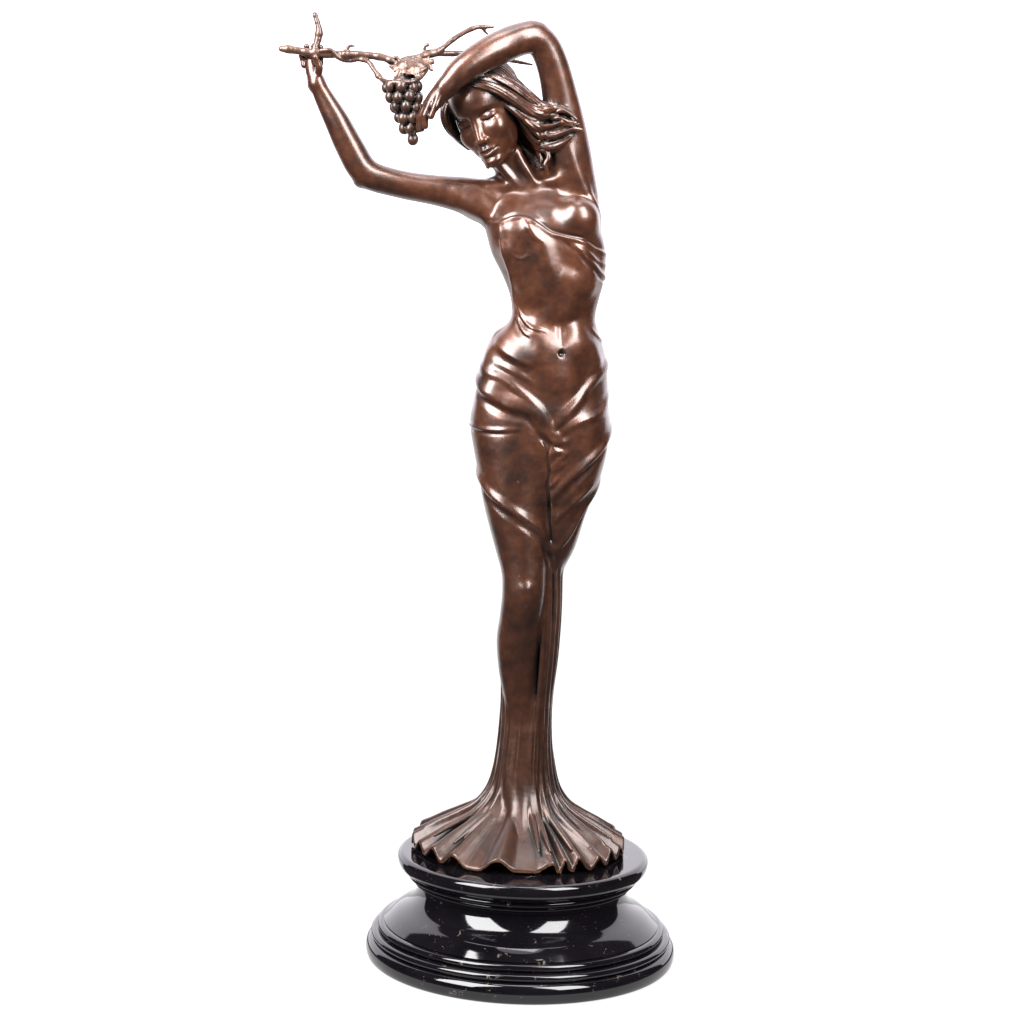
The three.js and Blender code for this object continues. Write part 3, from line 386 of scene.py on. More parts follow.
def smooth_path(rows, steps):
    """A centripetal Catmull-Rom curve through the rows, with every column of a row carried along it."""
    rows = np.array(rows, float)
    p = np.vstack([2 * rows[0] - rows[1], rows, 2 * rows[-1] - rows[-2]])
    reach = min(3, p.shape[1])
    root = np.sqrt(np.linalg.norm(np.diff(p[:, :reach], axis=0), axis=1))[:, None] + 1e-6
    before, span, after = root[:-2], root[1:-1], root[2:]
    a, b, c, d = p[:-3], p[1:-2], p[2:-1], p[3:]
    leave = ((b - a) / before - (c - a) / (before + span) + (c - b) / span) * span
    arrive = ((c - b) / span - (d - b) / (span + after) + (d - c) / after) * span
    t = (np.arange(steps) / steps)[None, :, None]
    b, c, leave, arrive = (v[:, None] for v in (b, c, leave, arrive))
    curve = (
        (2 * t**3 - 3 * t**2 + 1) * b + (t**3 - 2 * t**2 + t) * leave
        + (3 * t**2 - 2 * t**3) * c + (t**3 - t**2) * arrive
    )
    return np.vstack([curve.reshape(-1, rows.shape[1]), rows[-1]])


def rows_at(table, at):
    """The columns of a table at the given places, on a smooth curve through its rows."""
    table = np.array(table, float)
    places = table[:, 0]
    slopes = np.gradient(table, axis=0) / np.gradient(places)[:, None]
    at = np.clip(at, places[0], places[-1])
    i = np.clip(np.searchsorted(places, at) - 1, 0, len(places) - 2)
    span = (places[i + 1] - places[i])[:, None]
    t = ((at - places[i]) / span[:, 0])[:, None]
    return (
        (2 * t**3 - 3 * t**2 + 1) * table[i] + (t**3 - 2 * t**2 + t) * slopes[i] * span
        + (3 * t**2 - 2 * t**3) * table[i + 1] + (t**3 - t**2) * slopes[i + 1] * span
    )


def unit(vectors):
    vectors = np.asarray(vectors, float)
    return vectors / (np.linalg.norm(vectors, axis=-1, keepdims=True) + 1e-9)


def ease(low, high, value):
    """Rises from 0 at low to 1 at high, level at both ends."""
    t = np.clip((value - low) / (high - low), 0, 1)
    return t * t * (3 - 2 * t)


def blended(a, b, width):
    """Lower envelope of two distances, rounded over a width where they cross."""
    if width <= 0:
        return np.minimum(a, b)
    h = np.maximum(width - np.abs(a - b), 0) / width
    return np.minimum(a, b) - h * h * width / 4


def oval_gap(offsets, halves):
    """Distance to an ellipse or ellipsoid, good close to its surface: k0 (k0 - 1) / k1."""
    k0 = np.sqrt(sum((v / h) ** 2 for v, h in zip(offsets, halves)))
    k1 = np.sqrt(sum((v / (h * h)) ** 2 for v, h in zip(offsets, halves)))
    return k0 * (k0 - 1) / (k1 + 1e-6)


def even_runs(*stops):
    """Grid coordinates in runs of even steps: each stop is (start, step), the last one (end, 0)."""
    runs = [np.arange(a, b - step * 0.5, step) for (a, step), (b, _) in zip(stops, stops[1:])]
    return np.append(np.concatenate(runs), stops[-1][0]).astype(np.float32)


class Clay:
    """A solid held as distances in millimetres from its surface on a grid of points, negative inside."""

    def __init__(self, *axes):
        self.axes = axes
        self.gap = np.full([len(a) for a in axes], FAR, np.float32)

    def box(self, low, high):
        """The part of the grid between two corners: its slices and its coordinates."""
        cuts = tuple(
            slice(int(np.searchsorted(a, lo)), int(np.searchsorted(a, hi, "right")))
            for a, lo, hi in zip(self.axes, low, high)
        )
        return cuts, np.ix_(*[a[c] for a, c in zip(self.axes, cuts)])

    def join(self, cuts, gap, width):
        self.gap[cuts] = blended(self.gap[cuts], gap.astype(np.float32), width)

    def cut(self, cuts, gap, width):
        self.gap[cuts] = -blended(-self.gap[cuts], gap.astype(np.float32), width)

    def near(self, nodes, reach):
        """Distance to a path's line and place along it, for the grid points within reach of the path."""
        nodes = np.asarray(nodes, np.float32)
        cuts, _ = self.box(nodes[:, :3].min(0) - reach, nodes[:, :3].max(0) + reach)
        shape = [c.stop - c.start for c in cuts]
        gap = np.full(shape, FAR, np.float32)
        along = np.zeros(shape, np.float32)
        for i, (a, b) in enumerate(zip(nodes[:-1, :3], nodes[1:, :3])):
            part, (x, y, z) = self.box(np.minimum(a, b) - reach, np.maximum(a, b) + reach)
            inner = tuple(slice(p.start - c.start, p.stop - c.start) for p, c in zip(part, cuts))
            way = b - a
            dx, dy, dz = x - a[0], y - a[1], z - a[2]
            t = np.clip((dx * way[0] + dy * way[1] + dz * way[2]) / max(way @ way, 1e-9), 0, 1)
            d = np.sqrt((dx - t * way[0]) ** 2 + (dy - t * way[1]) ** 2 + (dz - t * way[2]) ** 2)
            closer = d < gap[inner]
            gap[inner] = np.where(closer, d, gap[inner])
            along[inner] = np.where(closer, i + t, along[inner])
        return cuts, gap, along

    def rod(self, rows, width, steps=4, hollow=False, grow=0):
        """A round rod along a path of x, y, z and radius."""
        nodes = smooth_path(rows, steps)
        cuts, gap, along = self.near(nodes, nodes[:, 3].max() + grow + max(width, 2) + 1.5)
        gap = gap - np.interp(along, np.arange(len(nodes)), nodes[:, 3]) - grow
        (self.cut if hollow else self.join)(cuts, gap, width)

    def oval(self, centre, halves, width):
        reach = max(width, 2) + 1.5
        cuts, points = self.box(np.subtract(centre, halves) - reach, np.add(centre, halves) + reach)
        self.join(cuts, oval_gap([p - c for p, c in zip(points, centre)], halves), width)

    def stack(self, table, width, flutes=None):
        """A form built up from turned elliptical sections; flutes(turn, height) says how far its surface is
        moved out."""
        table = np.array(table, float)
        reach = width + 3
        half = table[:, 3:5].max() + reach
        low = [table[:, 1].min() - half, table[:, 2].min() - half, table[0, 0] - reach]
        high = [table[:, 1].max() + half, table[:, 2].max() + half, table[-1, 0] + reach]
        cuts, (x, y, z) = self.box(low, high)
        level = z[0, 0]
        _, cx, cy, a, b, turn = rows_at(table, level).T.astype(np.float32)
        turn = np.radians(turn)
        u = (x - cx) * np.cos(turn) + (y - cy) * np.sin(turn)
        v = -(x - cx) * np.sin(turn) + (y - cy) * np.cos(turn)
        gap = oval_gap([u, v], [a, b])
        if flutes:
            gap = gap - flutes(np.degrees(np.arctan2(x - cx, -(y - cy))), z)
        over = np.abs(level - np.clip(level, table[0, 0], table[-1, 0]))
        gap = np.where(over > 0, np.hypot(np.maximum(gap, 0), over), gap)
        self.join(cuts, gap, width)

    def at(self, points):
        """The distance at any points, blended from the eight grid points round each."""
        points = np.asarray(points)
        index, share = [], []
        for c, axis in enumerate(self.axes):
            f = np.interp(points[..., c], axis, np.arange(len(axis)))
            i = np.minimum(f.astype(np.int32), len(axis) - 2)
            index.append(i)
            share.append((f - i).astype(np.float32))
        total = 0
        for corner in range(8):
            steps = [(corner >> c) & 1 for c in range(3)]
            weight = 1
            for c in range(3):
                weight = weight * (share[c] if steps[c] else 1 - share[c])
            total = total + weight * self.gap[tuple(index[c] + steps[c] for c in range(3))]
        return total

    def slope(self, points, step=0.6):
        """The direction out of the surface at any points."""
        sides = [self.at(points + step * e) - self.at(points - step * e) for e in np.eye(3)]
        return unit(np.stack(sides, -1))

    def skin(self):
        """The surface: a vertex in every cell that it crosses, at the mean of the crossings on the cell's
        edges, and a face round every crossed edge."""
        inside = self.gap < 0
        counts = np.array(self.gap.shape)
        strides = np.array([counts[1] * counts[2], counts[2], 1])
        cells, places = [], []
        for axis in range(3):
            low = [slice(None)] * 3
            high = [slice(None)] * 3
            low[axis] = slice(0, -1)
            high[axis] = slice(1, None)
            crossed = inside[tuple(low)] != inside[tuple(high)]
            edge = np.argwhere(crossed)
            edge = edge[np.all(edge > 0, axis=1) & np.all(edge < counts - 1, axis=1)]
            first = self.gap[tuple(edge.T)]
            after = edge.copy()
            after[:, axis] += 1
            second = self.gap[tuple(after.T)]
            place = edge.astype(np.float64)
            place[:, axis] += first / (first - second)
            one, two = strides[(axis + 1) % 3], strides[(axis + 2) % 3]
            corner = edge @ strides
            ring = np.stack([corner, corner - one, corner - one - two, corner - two], 1)
            ring[first >= 0] = ring[first >= 0][:, ::-1]
            cells.append(ring.ravel())
            places.append(np.repeat(place, 4, axis=0))
        cells = np.concatenate(cells)
        places = np.concatenate(places)
        _, which = np.unique(cells, return_inverse=True)
        number = np.bincount(which)
        vertices = np.stack([np.bincount(which, places[:, c]) / number for c in range(3)], 1)
        columns = [np.interp(vertices[:, c], np.arange(counts[c]), self.axes[c]) for c in range(3)]
        return np.stack(columns, 1), which.reshape(-1, 4)


def settle(clay, points, times=2):
    """Moves points along the slope onto the surface."""
    for _ in range(times):
        points = points - np.clip(clay.at(points), -1, 1)[:, None] * clay.slope(points)
    return points


# Body and gown


def body_middle(z):
    """The middle of the body at each height: between the legs below, inside the hips and chest above."""
    low = rows_at(GATHERED_CLOTH, z)
    high = rows_at(TRUNK, z)
    t = ease(110, 300, z)
    x = np.minimum(low[:, 1], 2) * (1 - t) + high[:, 1] * t
    y = np.minimum(low[:, 2], 0) * (1 - t) + high[:, 2] * t
    return x, y


def first_surface(clay, starts, ways, reach=90):
    """The first points of the surface that straight lines from the starts meet."""
    steps = np.arange(0, reach, 0.5)
    line = starts[:, None] + ways[:, None] * steps[None, :, None]
    gap = clay.at(line)
    hit = np.argmax(gap <= 0, axis=1)
    hit = np.where((gap <= 0).any(axis=1), hit, np.argmin(gap, axis=1))
    rows = np.arange(len(starts))
    before = np.maximum(hit - 1, 0)
    a, b = gap[rows, before], gap[rows, hit]
    share = np.clip(a / (a - b + 1e-9), 0, 1)
    return starts + ways * (steps[before] + 0.5 * share)[:, None]


def on_body(clay, path, from_front):
    """Points on the body under a path of turns and heights, or of x and height seen from the front."""
    flat = smooth_path(path, 6)
    z = flat[:, 1]
    if from_front:
        starts = np.stack([flat[:, 0], np.full(len(z), -80.0), z], 1)
        ways = np.tile([0.0, 1.0, 0.0], (len(z), 1))
    else:
        x, y = body_middle(z)
        turn = np.radians(flat[:, 0])
        out = np.stack([np.sin(turn), -np.cos(turn), np.zeros(len(z))], 1)
        starts = np.stack([x, y, z], 1) + 80 * out
        ways = -out
    return first_surface(clay, starts, ways)


def lay_fold(clay, points, normals, radius, groove):
    """A soft fold that swells from nothing and thins out again, half sunk in the body. Where groove is 1 or
    -1, a hollow runs above or below it."""
    s = np.linspace(0, 1, len(points))
    swell = np.clip(np.sin(np.pi * s), 0, 1) ** 0.6
    thick = radius * (0.3 + 0.7 * swell)
    middle = points - normals * (radius * (1.05 - 0.62 * swell))[:, None]
    clay.rod(np.column_stack([middle, thick]), 2.2 * radius, steps=1)
    if groove:
        aside = np.cross(normals, unit(np.gradient(points, axis=0)))
        aside *= np.sign(aside[:, 2:3]) * groove
        beside = points + aside * (1.9 * radius) + normals * (1.25 * radius - 0.7 * radius * swell)[:, None]
        clay.rod(np.column_stack([beside, thick]), 1.3 * radius, steps=1, hollow=True)


def crest_share(turn):
    """1 on the crest of a pleat and 0 in the broad trough between two pleats."""
    best = np.zeros(np.shape(turn), np.float32)
    turns = np.array([p[0] for p in PLEATS], float)
    for k, (at, height) in enumerate(PLEATS):
        before = (at - turns[k - 1]) % 360
        after = (turns[(k + 1) % len(turns)] - at) % 360
        off = (turn - at + 180) % 360 - 180
        reach = np.where(off < 0, min(before / 2, 10), min(after / 2, 10))
        wave = 0.5 + 0.5 * np.cos(np.pi * np.clip(np.abs(off) / reach, 0, 1))
        best = np.maximum(best, height * wave**0.85)
    return best


def hem_wave(turn):
    """How far the hem's edge stands inside its widest line, in millimetres."""
    a = np.radians(turn)
    return 1.2 + 0.7 * np.sin(5 * a + 1) + 0.5 * np.sin(11 * a + 2.2)


def skirt_middle(t):
    """Middle of the skirt's outline and its depth against its width, from the gathers (0) to the hem (1)."""
    return -1 - 3 * t, 7 - t, 1 - 0.09 * t


def spread_skirt(clay, sizes):
    """The skirt's surface is a height over the plinth: a line from the hem to the gathers, less the pleats.
    Near the hem only a thin sheet of it is solid, so its edge stands off the marble under each crest."""
    hem, lift, edge = (v / MM for v in (sizes.hem_radius, sizes.pleat_lift, sizes.cloth_edge))
    cuts, (x, y, z) = clay.box((-98, -80, -0.5), (90, 92, 134))
    x2, y2 = x[:, :, 0], y[:, :, 0]
    spread = hem - GATHER_RADIUS
    t = np.ones(np.broadcast(x2, y2).shape)
    for _ in range(6):
        middle_x, middle_y, deep = skirt_middle(t)
        u = x2 - middle_x
        v = (y2 - middle_y) / deep
        away = np.hypot(u, v)
        t = np.clip((away - GATHER_RADIUS) / spread, 0, 1)
    turn = np.degrees(np.arctan2(u, -v))
    share = (away - GATHER_RADIUS) / spread
    shares, heights, depths = crest_line()
    height = np.interp(share, shares, heights)
    pleat = np.interp(share, shares, depths)
    crest = crest_share(turn)
    height = height - lift * pleat * (1 - crest) + 0.8 * crest * ease(0.86, 1, share)
    across, along = np.gradient(height, x2[:, 0].astype(float), y2[0].astype(float))
    lean = np.sqrt(1 + across**2 + along**2).astype(np.float32)
    top = (z - height[:, :, None].astype(np.float32)) / lean[:, :, None]
    thick = edge + 2.4 * np.maximum(70 - away, 0)
    sheet = np.maximum(top, -top - thick[:, :, None].astype(np.float32))
    rim = (away - hem + hem_wave(turn))[:, :, None].astype(np.float32)
    sheet = -blended(-sheet, -rim, 1.2)
    sheet = np.maximum(sheet, -z)
    clay.join(cuts, sheet, 3)


def crest_line():
    """The crests' share of the spread, height and pleat depth, from the gathers out to the hem. The curve is
    drawn with the shares and depths stretched to lengths like the heights."""
    stretch, deepen = 70, 10
    rows = [[-share * stretch, height, deepen * depth] for share, height, depth in CREST_LINE]
    line = smooth_path(rows, 8)[::-1]
    return -line[:, 0] / stretch, line[:, 1], line[:, 2] / deepen


def run_into_pleat(turn, hem):
    """The lower half of a hanging fold, which follows the crest of its pleat and sinks into it before the
    hem."""
    share, height, _ = crest_line()
    rows = []
    for at, radius in ((0.06, 2.5), (0.14, 2.8), (0.28, 2.9), (0.46, 2.6), (0.66, 2), (0.84, 1.2)):
        away = GATHER_RADIUS + at * (hem - GATHER_RADIUS)
        a = np.radians(turn)
        middle_x, middle_y, deep = skirt_middle(at)
        x = middle_x + away * np.sin(a)
        y = middle_y - away * deep * np.cos(a)
        rows.append([x, y, np.interp(at, share, height) - 0.62 * radius, radius])
    return rows


def cloth_flutes(turn, z):
    """Upright folds round the gathered cloth, deepest in its middle and gone at its top."""
    depth = 2.4 * ease(40, 90, z) * (1 - ease(140, 240, z))
    return (depth * (crest_share(turn) - 0.5)).astype(np.float32)


def model_body(clay, sizes):
    clay.stack(GATHERED_CLOTH, 3, cloth_flutes)
    for path in (FRONT_LEG, REAR_LEG):
        clay.rod(path, 4, steps=4)
    clay.stack(TRUNK, 9)
    for x, y, z, r in BREASTS:
        clay.oval((x, y, z), (r, r, r), 9)
    for path, width in BODY_FORMS:
        clay.rod(path, width)
    raised = []
    for path, radius, proud, width in TORSO_FORMS:
        points = on_body(clay, path, True)
        middle = points - clay.slope(points, 1.5) * (radius - proud)
        raised.append((np.column_stack([middle, np.full(len(middle), radius)]), width))
    for rows, width in raised:
        clay.rod(rows, width, steps=1)
    clay.rod(FOOT, 6)
    spread_skirt(clay, sizes)
    for path, turn in HANGING_FOLDS:
        clay.rod(path + run_into_pleat(turn, sizes.hem_radius / MM), 2.4)


def dress_body(clay):
    """All folds are placed on the bare body first, so no fold climbs over another one."""
    laid = []
    for table, from_front in ((FOLDS_ROUND, False), (FOLDS_IN_FRONT, True)):
        for path, radius, groove in table:
            points = on_body(clay, path, from_front)
            laid.append((points, clay.slope(points, 1.5), radius, groove))
    hollows = []
    for path, radius, depth in HOLLOWS_IN_FRONT:
        points = on_body(clay, path, True)
        hollows.append((points + clay.slope(points, 1.5) * (radius - depth), radius))
    for points, normals, radius, groove in laid:
        lay_fold(clay, points, normals, radius, groove)
    for middle, radius in hollows:
        s = np.linspace(0, 1, len(middle))
        thin = radius * (0.55 + 0.45 * np.sin(np.pi * s))
        clay.rod(np.column_stack([middle, thin]), 0.8 * radius, steps=1, hollow=True)


# Head and hair


def head_frame():
    forward = unit(HEAD_FORWARD)
    side = unit(np.cross(unit(HEAD_UP), forward))
    return np.array([side, forward, np.cross(forward, side)])


def bell(value, middle, width):
    return np.exp(-(((value - middle) / width) ** 2))


def face_relief(s, u):
    """How far the skin of the face stands out over the head's masses, sideways and upward place given."""
    m = np.abs(s)
    eye = m - EYE_SIDE
    out = -1.9 * bell(eye, 0.4, 7.5) * bell(u, 1.4, 4.8)
    out += -0.7 * bell(m, 4.6, 2.4) * bell(u, 1.4, 3.4)
    out += 0.6 * bell(u, 8.2 - 0.02 * (m - 8) ** 2, 2.6) * bell(m, 10, 8.5)
    out += -0.8 * bell(m, 21, 5) * bell(u, 8, 7)
    width = np.clip(1 - (s / (MOUTH_HALF + 0.4)) ** 2, 0, 1)
    lower = np.clip(1 - (s / (MOUTH_HALF - 1)) ** 2, 0, 1)
    bow = -23.1 + 0.35 * bell(m, 2.2, 1.2) - 0.018 * s * s
    part = -24.9 + 0.012 * s * s - 0.25 * bell(s, 0, 1.6)
    out += 1.3 * width**0.6 * bell(u, bow, 1.5)
    out += 1.6 * lower**0.6 * bell(u, -27.2 + 0.02 * s * s, 1.8)
    out += -1.2 * width**0.4 * bell(u, part, 0.7)
    out += -0.7 * bell(m, MOUTH_HALF + 0.5, 1.4) * bell(u, -24.4, 1.4)
    out += -0.5 * bell(s, 0, 1.1) * bell(u, -20.3, 1.7)
    out += -1.1 * bell(s, 0, 6) * bell(u, -30.6, 1.7)
    out += -0.35 * bell(m - 6.6 + 0.7 * (u + 20.5), 0, 1.6) * bell(u, -20, 3)
    return out


def lid_relief(s, u):
    """Creases of the lowered eyelids."""
    m = np.abs(s) - EYE_SIDE
    across = np.clip(1 - (m / 6.8) ** 2, 0, 1)
    fold = 3.9 - 0.06 * m * m
    meet = -2.5 + 0.045 * m * m
    out = -0.55 * across**0.5 * bell(u, fold, 0.75)
    out += -0.9 * across**0.5 * bell(u, meet, 0.7)
    out += 0.3 * across**0.5 * bell(u, meet + 1.2, 0.7)
    return out


def model_head(clay):
    turn = head_frame()
    cuts, (x, y, z) = clay.box(np.subtract(HEAD_MIDDLE, 46), np.add(HEAD_MIDDLE, 46))
    off = [x - HEAD_MIDDLE[0], y - HEAD_MIDDLE[1], z - HEAD_MIDDLE[2]]
    s, f, u = (sum(np.float32(row[c]) * off[c] for c in range(3)) for row in turn)

    def oval(centre, halves):
        return oval_gap([v - c for v, c in zip((s, f, u), centre)], halves)

    gap = np.full(s.shape, FAR, np.float32)
    for centre, halves in HEAD_MASSES:
        gap = blended(gap, oval(centre, halves), 5)
    ahead = ease(4, 14, f)
    gap = gap - face_relief(s, u) * ahead
    for side in (-1, 1):
        gap = blended(gap, oval((side * EYE_SIDE, 17.6, -0.2), (6.6, 6.2, 4.9)), 2.4)
    gap = gap - lid_relief(s, u) * ahead
    # nose: ridge, tip, wings, and the nostrils cut in from below
    bridge = smooth_path([[0, 22.6, 6, 3], [0, 25.6, -3, 2.8], [0, 29, -11, 2.5], [0, 30, -14.6, 2.8]], 3)
    least = np.full(s.shape, FAR, np.float32)
    for a, b in zip(bridge[:-1], bridge[1:]):
        way = (b - a)[:3]
        t = np.clip(((s - a[0]) * way[0] + (f - a[1]) * way[1] + (u - a[2]) * way[2]) / (way @ way), 0, 1)
        off_line = [v - start - t * step for v, start, step in zip((s, f, u), a, way)]
        line = np.sqrt(off_line[0] ** 2 + off_line[1] ** 2 + off_line[2] ** 2)
        least = np.minimum(least, line - (a[3] + t * (b[3] - a[3])))
    gap = blended(gap, least, 4.5)
    for side in (-1, 1):
        gap = blended(gap, oval((side * 3.7, 27.6, -15.6), (2.2, 3.2, 2.2)), 1.8)
        gap = -blended(-gap, oval((side * 1.9, 28.6, -18.6), (1, 1.6, 0.8)), 1)
        # ear: a shell with its rim and lobe, mostly under the hair
        gap = blended(gap, oval((side * 25.2, -3, -3.5), (2, 4.6, 7.6)), 1.2)
        gap = -blended(-gap, oval((side * 27.4, -2.2, -2.4), (1.6, 2.6, 4.2)), 0.8)
    clay.join(cuts, gap, 3)
    # the hair over the skull, combed in strands that run across it
    comb = 0.9 * f + 0.35 * s + 2.2 * np.sin(0.11 * u) + 1.1 * np.sin(0.23 * s + 0.13 * f)
    strands = 0.75 * (1 - np.abs(np.cos(comb))) + 0.3 * (1 - np.abs(np.cos(comb * 2.3 + 1)))
    clay.join(cuts, oval(*CAP) + strands, 0)


def model_lock(clay, rows, flat, strands):
    """A tapered lock, oval across, with strands cut along it that twist as they go."""
    nodes = smooth_path(rows, 5)
    reach = nodes[:, 3].max() + 3
    cuts, gap, along = clay.near(nodes, reach)
    close = np.nonzero(gap < reach)
    _, points = clay.box(nodes[:, :3].min(0) - reach, nodes[:, :3].max(0) + reach)
    place = np.stack([p.ravel()[i] for p, i in zip(points, close)], 1)
    number = np.arange(len(nodes))
    s = along[close]

    def carried(columns):
        return np.stack([np.interp(s, number, columns[:, c]) for c in range(3)], 1)

    way = unit(np.gradient(nodes[:, :3], axis=0))
    out = unit(nodes[:, :3] - np.array(HEAD_MIDDLE) - 6 * np.array([1, 0.5, 0]))
    side = unit(np.cross(way, out))
    off = place - carried(nodes[:, :3])
    a = np.sum(off * carried(side), 1)
    b = np.sum(off * carried(unit(np.cross(side, way))), 1)
    c = np.sum(off * carried(way), 1)
    wide = np.maximum(np.interp(s, number, nodes[:, 3]), 0.4)
    body = oval_gap([a, b, c], [wide, flat * wide, wide])
    angle = np.arctan2(b / flat, a)
    pattern = 1 - np.abs(np.cos(strands * 0.4 * angle + 0.16 * s))
    fine = 1 - np.abs(np.cos(strands * 0.9 * angle - 0.1 * s + 1))
    body = body + np.minimum(0.16 * wide, 0.75) * pattern + np.minimum(0.05 * wide, 0.25) * fine
    lock = np.full(gap.shape, FAR, np.float32)
    lock[close] = body
    clay.join(cuts, lock, 0.5)


def model_hand(clay, paths):
    """Palm, then the fingers with their knuckles, then the thumb."""
    palm, *fingers = paths
    clay.rod(palm, 4)
    for path in fingers:
        nodes = smooth_path(path, 4)
        knuckle = 1 + 0.09 * np.cos(np.linspace(0, 4 * np.pi, len(nodes)))
        nodes[:, 3] *= knuckle
        clay.rod(nodes, 0.9, steps=1)


# Vine


def model_leaf(clay, middle, facing, tip, size, seed):
    """A thin crumpled blade with a lobed, frilled outline and veins."""
    facing = unit(facing)
    tip = unit(np.asarray(tip) - facing * np.dot(tip, facing))
    side = np.cross(facing, tip)
    cuts, (x, y, z) = clay.box(np.subtract(middle, size + 4), np.add(middle, size + 4))
    off = [x - middle[0], y - middle[1], z - middle[2]]
    u, v, w = (sum(np.float32(d[c]) * off[c] for c in range(3)) for d in (side, tip, facing))
    away = np.sqrt(u * u + v * v) + 1e-6
    angle = np.arctan2(u, v)
    r = away / size
    outline = size * (0.74 + 0.2 * np.cos(5 * angle) + 0.07 * np.cos(13 * angle + seed))
    curl = 0.15 * size * r * r * np.cos(3 * angle + seed) + 0.11 * size * r**2 * np.cos(8 * angle + 2 * seed)
    curl = curl + 0.07 * size * np.sin(5.2 * u / size + seed) * np.cos(4.6 * v / size) - 0.06 * size * r
    vein = 0.35 * np.abs(np.sin(2.5 * angle)) ** 0.6
    lean = np.sqrt(1 + (0.9 * r) ** 2)
    blade = (np.abs(w - curl) / lean) - 0.75 + 0.25 * vein
    edge = (away - outline) * 0.7
    clay.join(cuts, -blended(-blade, -edge, 0.5), 0.6)


def model_vine(clay, sizes, grow=0.0):
    """The branch and the bunch, and its leaves where it isn't grown to make room in the hands."""
    grape = sizes.grape_radius / MM
    for rows in VINE_STEMS:
        nodes = smooth_path(rows, 5)
        run = np.arange(len(nodes))
        nodes[:, 3] *= 1 + 0.07 * np.sin(1.3 * run + rows[0][0]) + 0.05 * np.sin(2.9 * run)
        clay.rod(nodes, 1.6, steps=1, grow=grow)
    for x, y, z, r in VINE_KNOTS:
        clay.oval((x, y, z), (r + grow, r + grow, 0.9 * r + grow), 1.6)
    top, tip = np.array(BUNCH_TOP, float), np.array(BUNCH_TIP, float)
    for row, (share, grapes, spread) in enumerate(BUNCH_ROUNDS):
        middle = top + share * (tip - top)
        for k in range(grapes):
            angle = (k + 0.5 * (row % 2)) / grapes * 2 * np.pi
            size = grape * (1.04 + 0.06 * np.sin(5 * k + 3 * row))
            x = middle[0] + spread * grape * np.sin(angle)
            y = middle[1] - spread * grape * np.cos(angle)
            z = middle[2] + 0.9 * np.sin(4 * k + row)
            clay.oval((x, y, z), (size * 0.96 + grow, size * 0.96 + grow, size * 1.1 + grow), 0.5)
    halfway = (top + tip) / 2
    stalk = [
        [top[0], top[1] + 4, top[2] + 12, 3], [*top, 2.2 * grape], [*halfway, 1.5 * grape],
        [*tip, 0.6 * grape],
    ]
    clay.rod(stalk, 0.5, grow=grow)
    x, y, z = np.add(BUNCH_TOP, (7, 3, 14.5))
    clay.oval((x, y, z), (12.5 + grow, 5.5 + grow, 7.5 + grow), 3)
    if grow == 0:
        for number, (middle, facing, tip_way, size) in enumerate(LEAVES):
            model_leaf(clay, middle, facing, tip_way, size, 1.7 * number)


# Meshes


def new_object(name, points, faces, material, smooth):
    mesh = bpy.data.meshes.new(name)
    mesh.from_pydata(points, [], faces)
    mesh.polygons.foreach_set("use_smooth", np.full(len(faces), smooth))
    mesh.materials.append(material)
    made = bpy.data.objects.new(name, mesh)
    bpy.context.scene.collection.objects.link(made)
    return made


def new_piece(name, vertices, faces, node, material):
    piece = new_object(name, (vertices * MM).tolist(), faces.tolist(), material, True)
    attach(piece, "root")
    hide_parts(node)
    return piece


def thinned(vertices, faces, share):
    """The surface with fewer faces: flat places give up theirs first."""
    mesh = bpy.data.meshes.new("thinning")
    mesh.vertices.add(len(vertices))
    mesh.vertices.foreach_set("co", vertices.astype(np.float32).ravel())
    mesh.loops.add(faces.size)
    mesh.loops.foreach_set("vertex_index", faces.astype(np.int32).ravel())
    mesh.polygons.add(len(faces))
    mesh.polygons.foreach_set("loop_start", np.arange(0, faces.size, 4, dtype=np.int32))
    mesh.update(calc_edges=True)
    holder = bpy.data.objects.new("thinning", mesh)
    bpy.context.scene.collection.objects.link(holder)
    step = holder.modifiers.new("thinner", "DECIMATE")
    step.ratio = share
    made = bpy.data.meshes.new_from_object(holder.evaluated_get(bpy.context.evaluated_depsgraph_get()))
    made.calc_loop_triangles()
    points = np.empty(3 * len(made.vertices), np.float32)
    made.vertices.foreach_get("co", points)
    corners = np.empty(3 * len(made.loop_triangles), np.int32)
    made.loop_triangles.foreach_get("vertices", corners)
    bpy.data.objects.remove(holder)
    bpy.data.meshes.remove(mesh)
    bpy.data.meshes.remove(made)
    return points.reshape(-1, 3).astype(float), corners.reshape(-1, 3)


def cast(clay, name, node, material, most_triangles):
    """The skin of a clay form as a bronze piece, with how far its hollows are closed in, which the bronze
    darkens partly as patina and partly as painted shade, and its worn ridges marked on its points.
    """
    vertices, faces = clay.skin()
    vertices = settle(clay, vertices, 1)
    share = min(1.0, most_triangles / (2 * len(faces)))
    vertices, faces = thinned(vertices, faces, share)
    vertices = settle(clay, vertices)
    normals = clay.slope(vertices, 0.7)
    steep = np.clip((clay.at(vertices + 0.4 * normals) - clay.at(vertices - 0.4 * normals)) / 0.8, 0.3, 1.2)
    # how far the surface round each point closes it in: the bronze darkens these hollows, partly as patina
    # and partly as painted shade
    near = 1 - clay.at(vertices + 1.4 * normals) / (1.4 * steep)
    wide = 1 - clay.at(vertices + 4 * normals) / (4 * steep)
    ridge = 1 + clay.at(vertices - 1.1 * normals) / (1.1 * steep)
    piece = new_piece(name, vertices + [0, 0, SEAT], faces, node, material)
    for label, values in (("hollow", 0.6 * near + 0.8 * wide), ("ridge", ridge)):
        layer = piece.data.attributes.new(label, "FLOAT", "POINT")
        layer.data.foreach_set("value", np.clip(values, 0, 1).astype(np.float32))
    piece.data.normals_split_custom_set_from_vertices(normals.tolist())


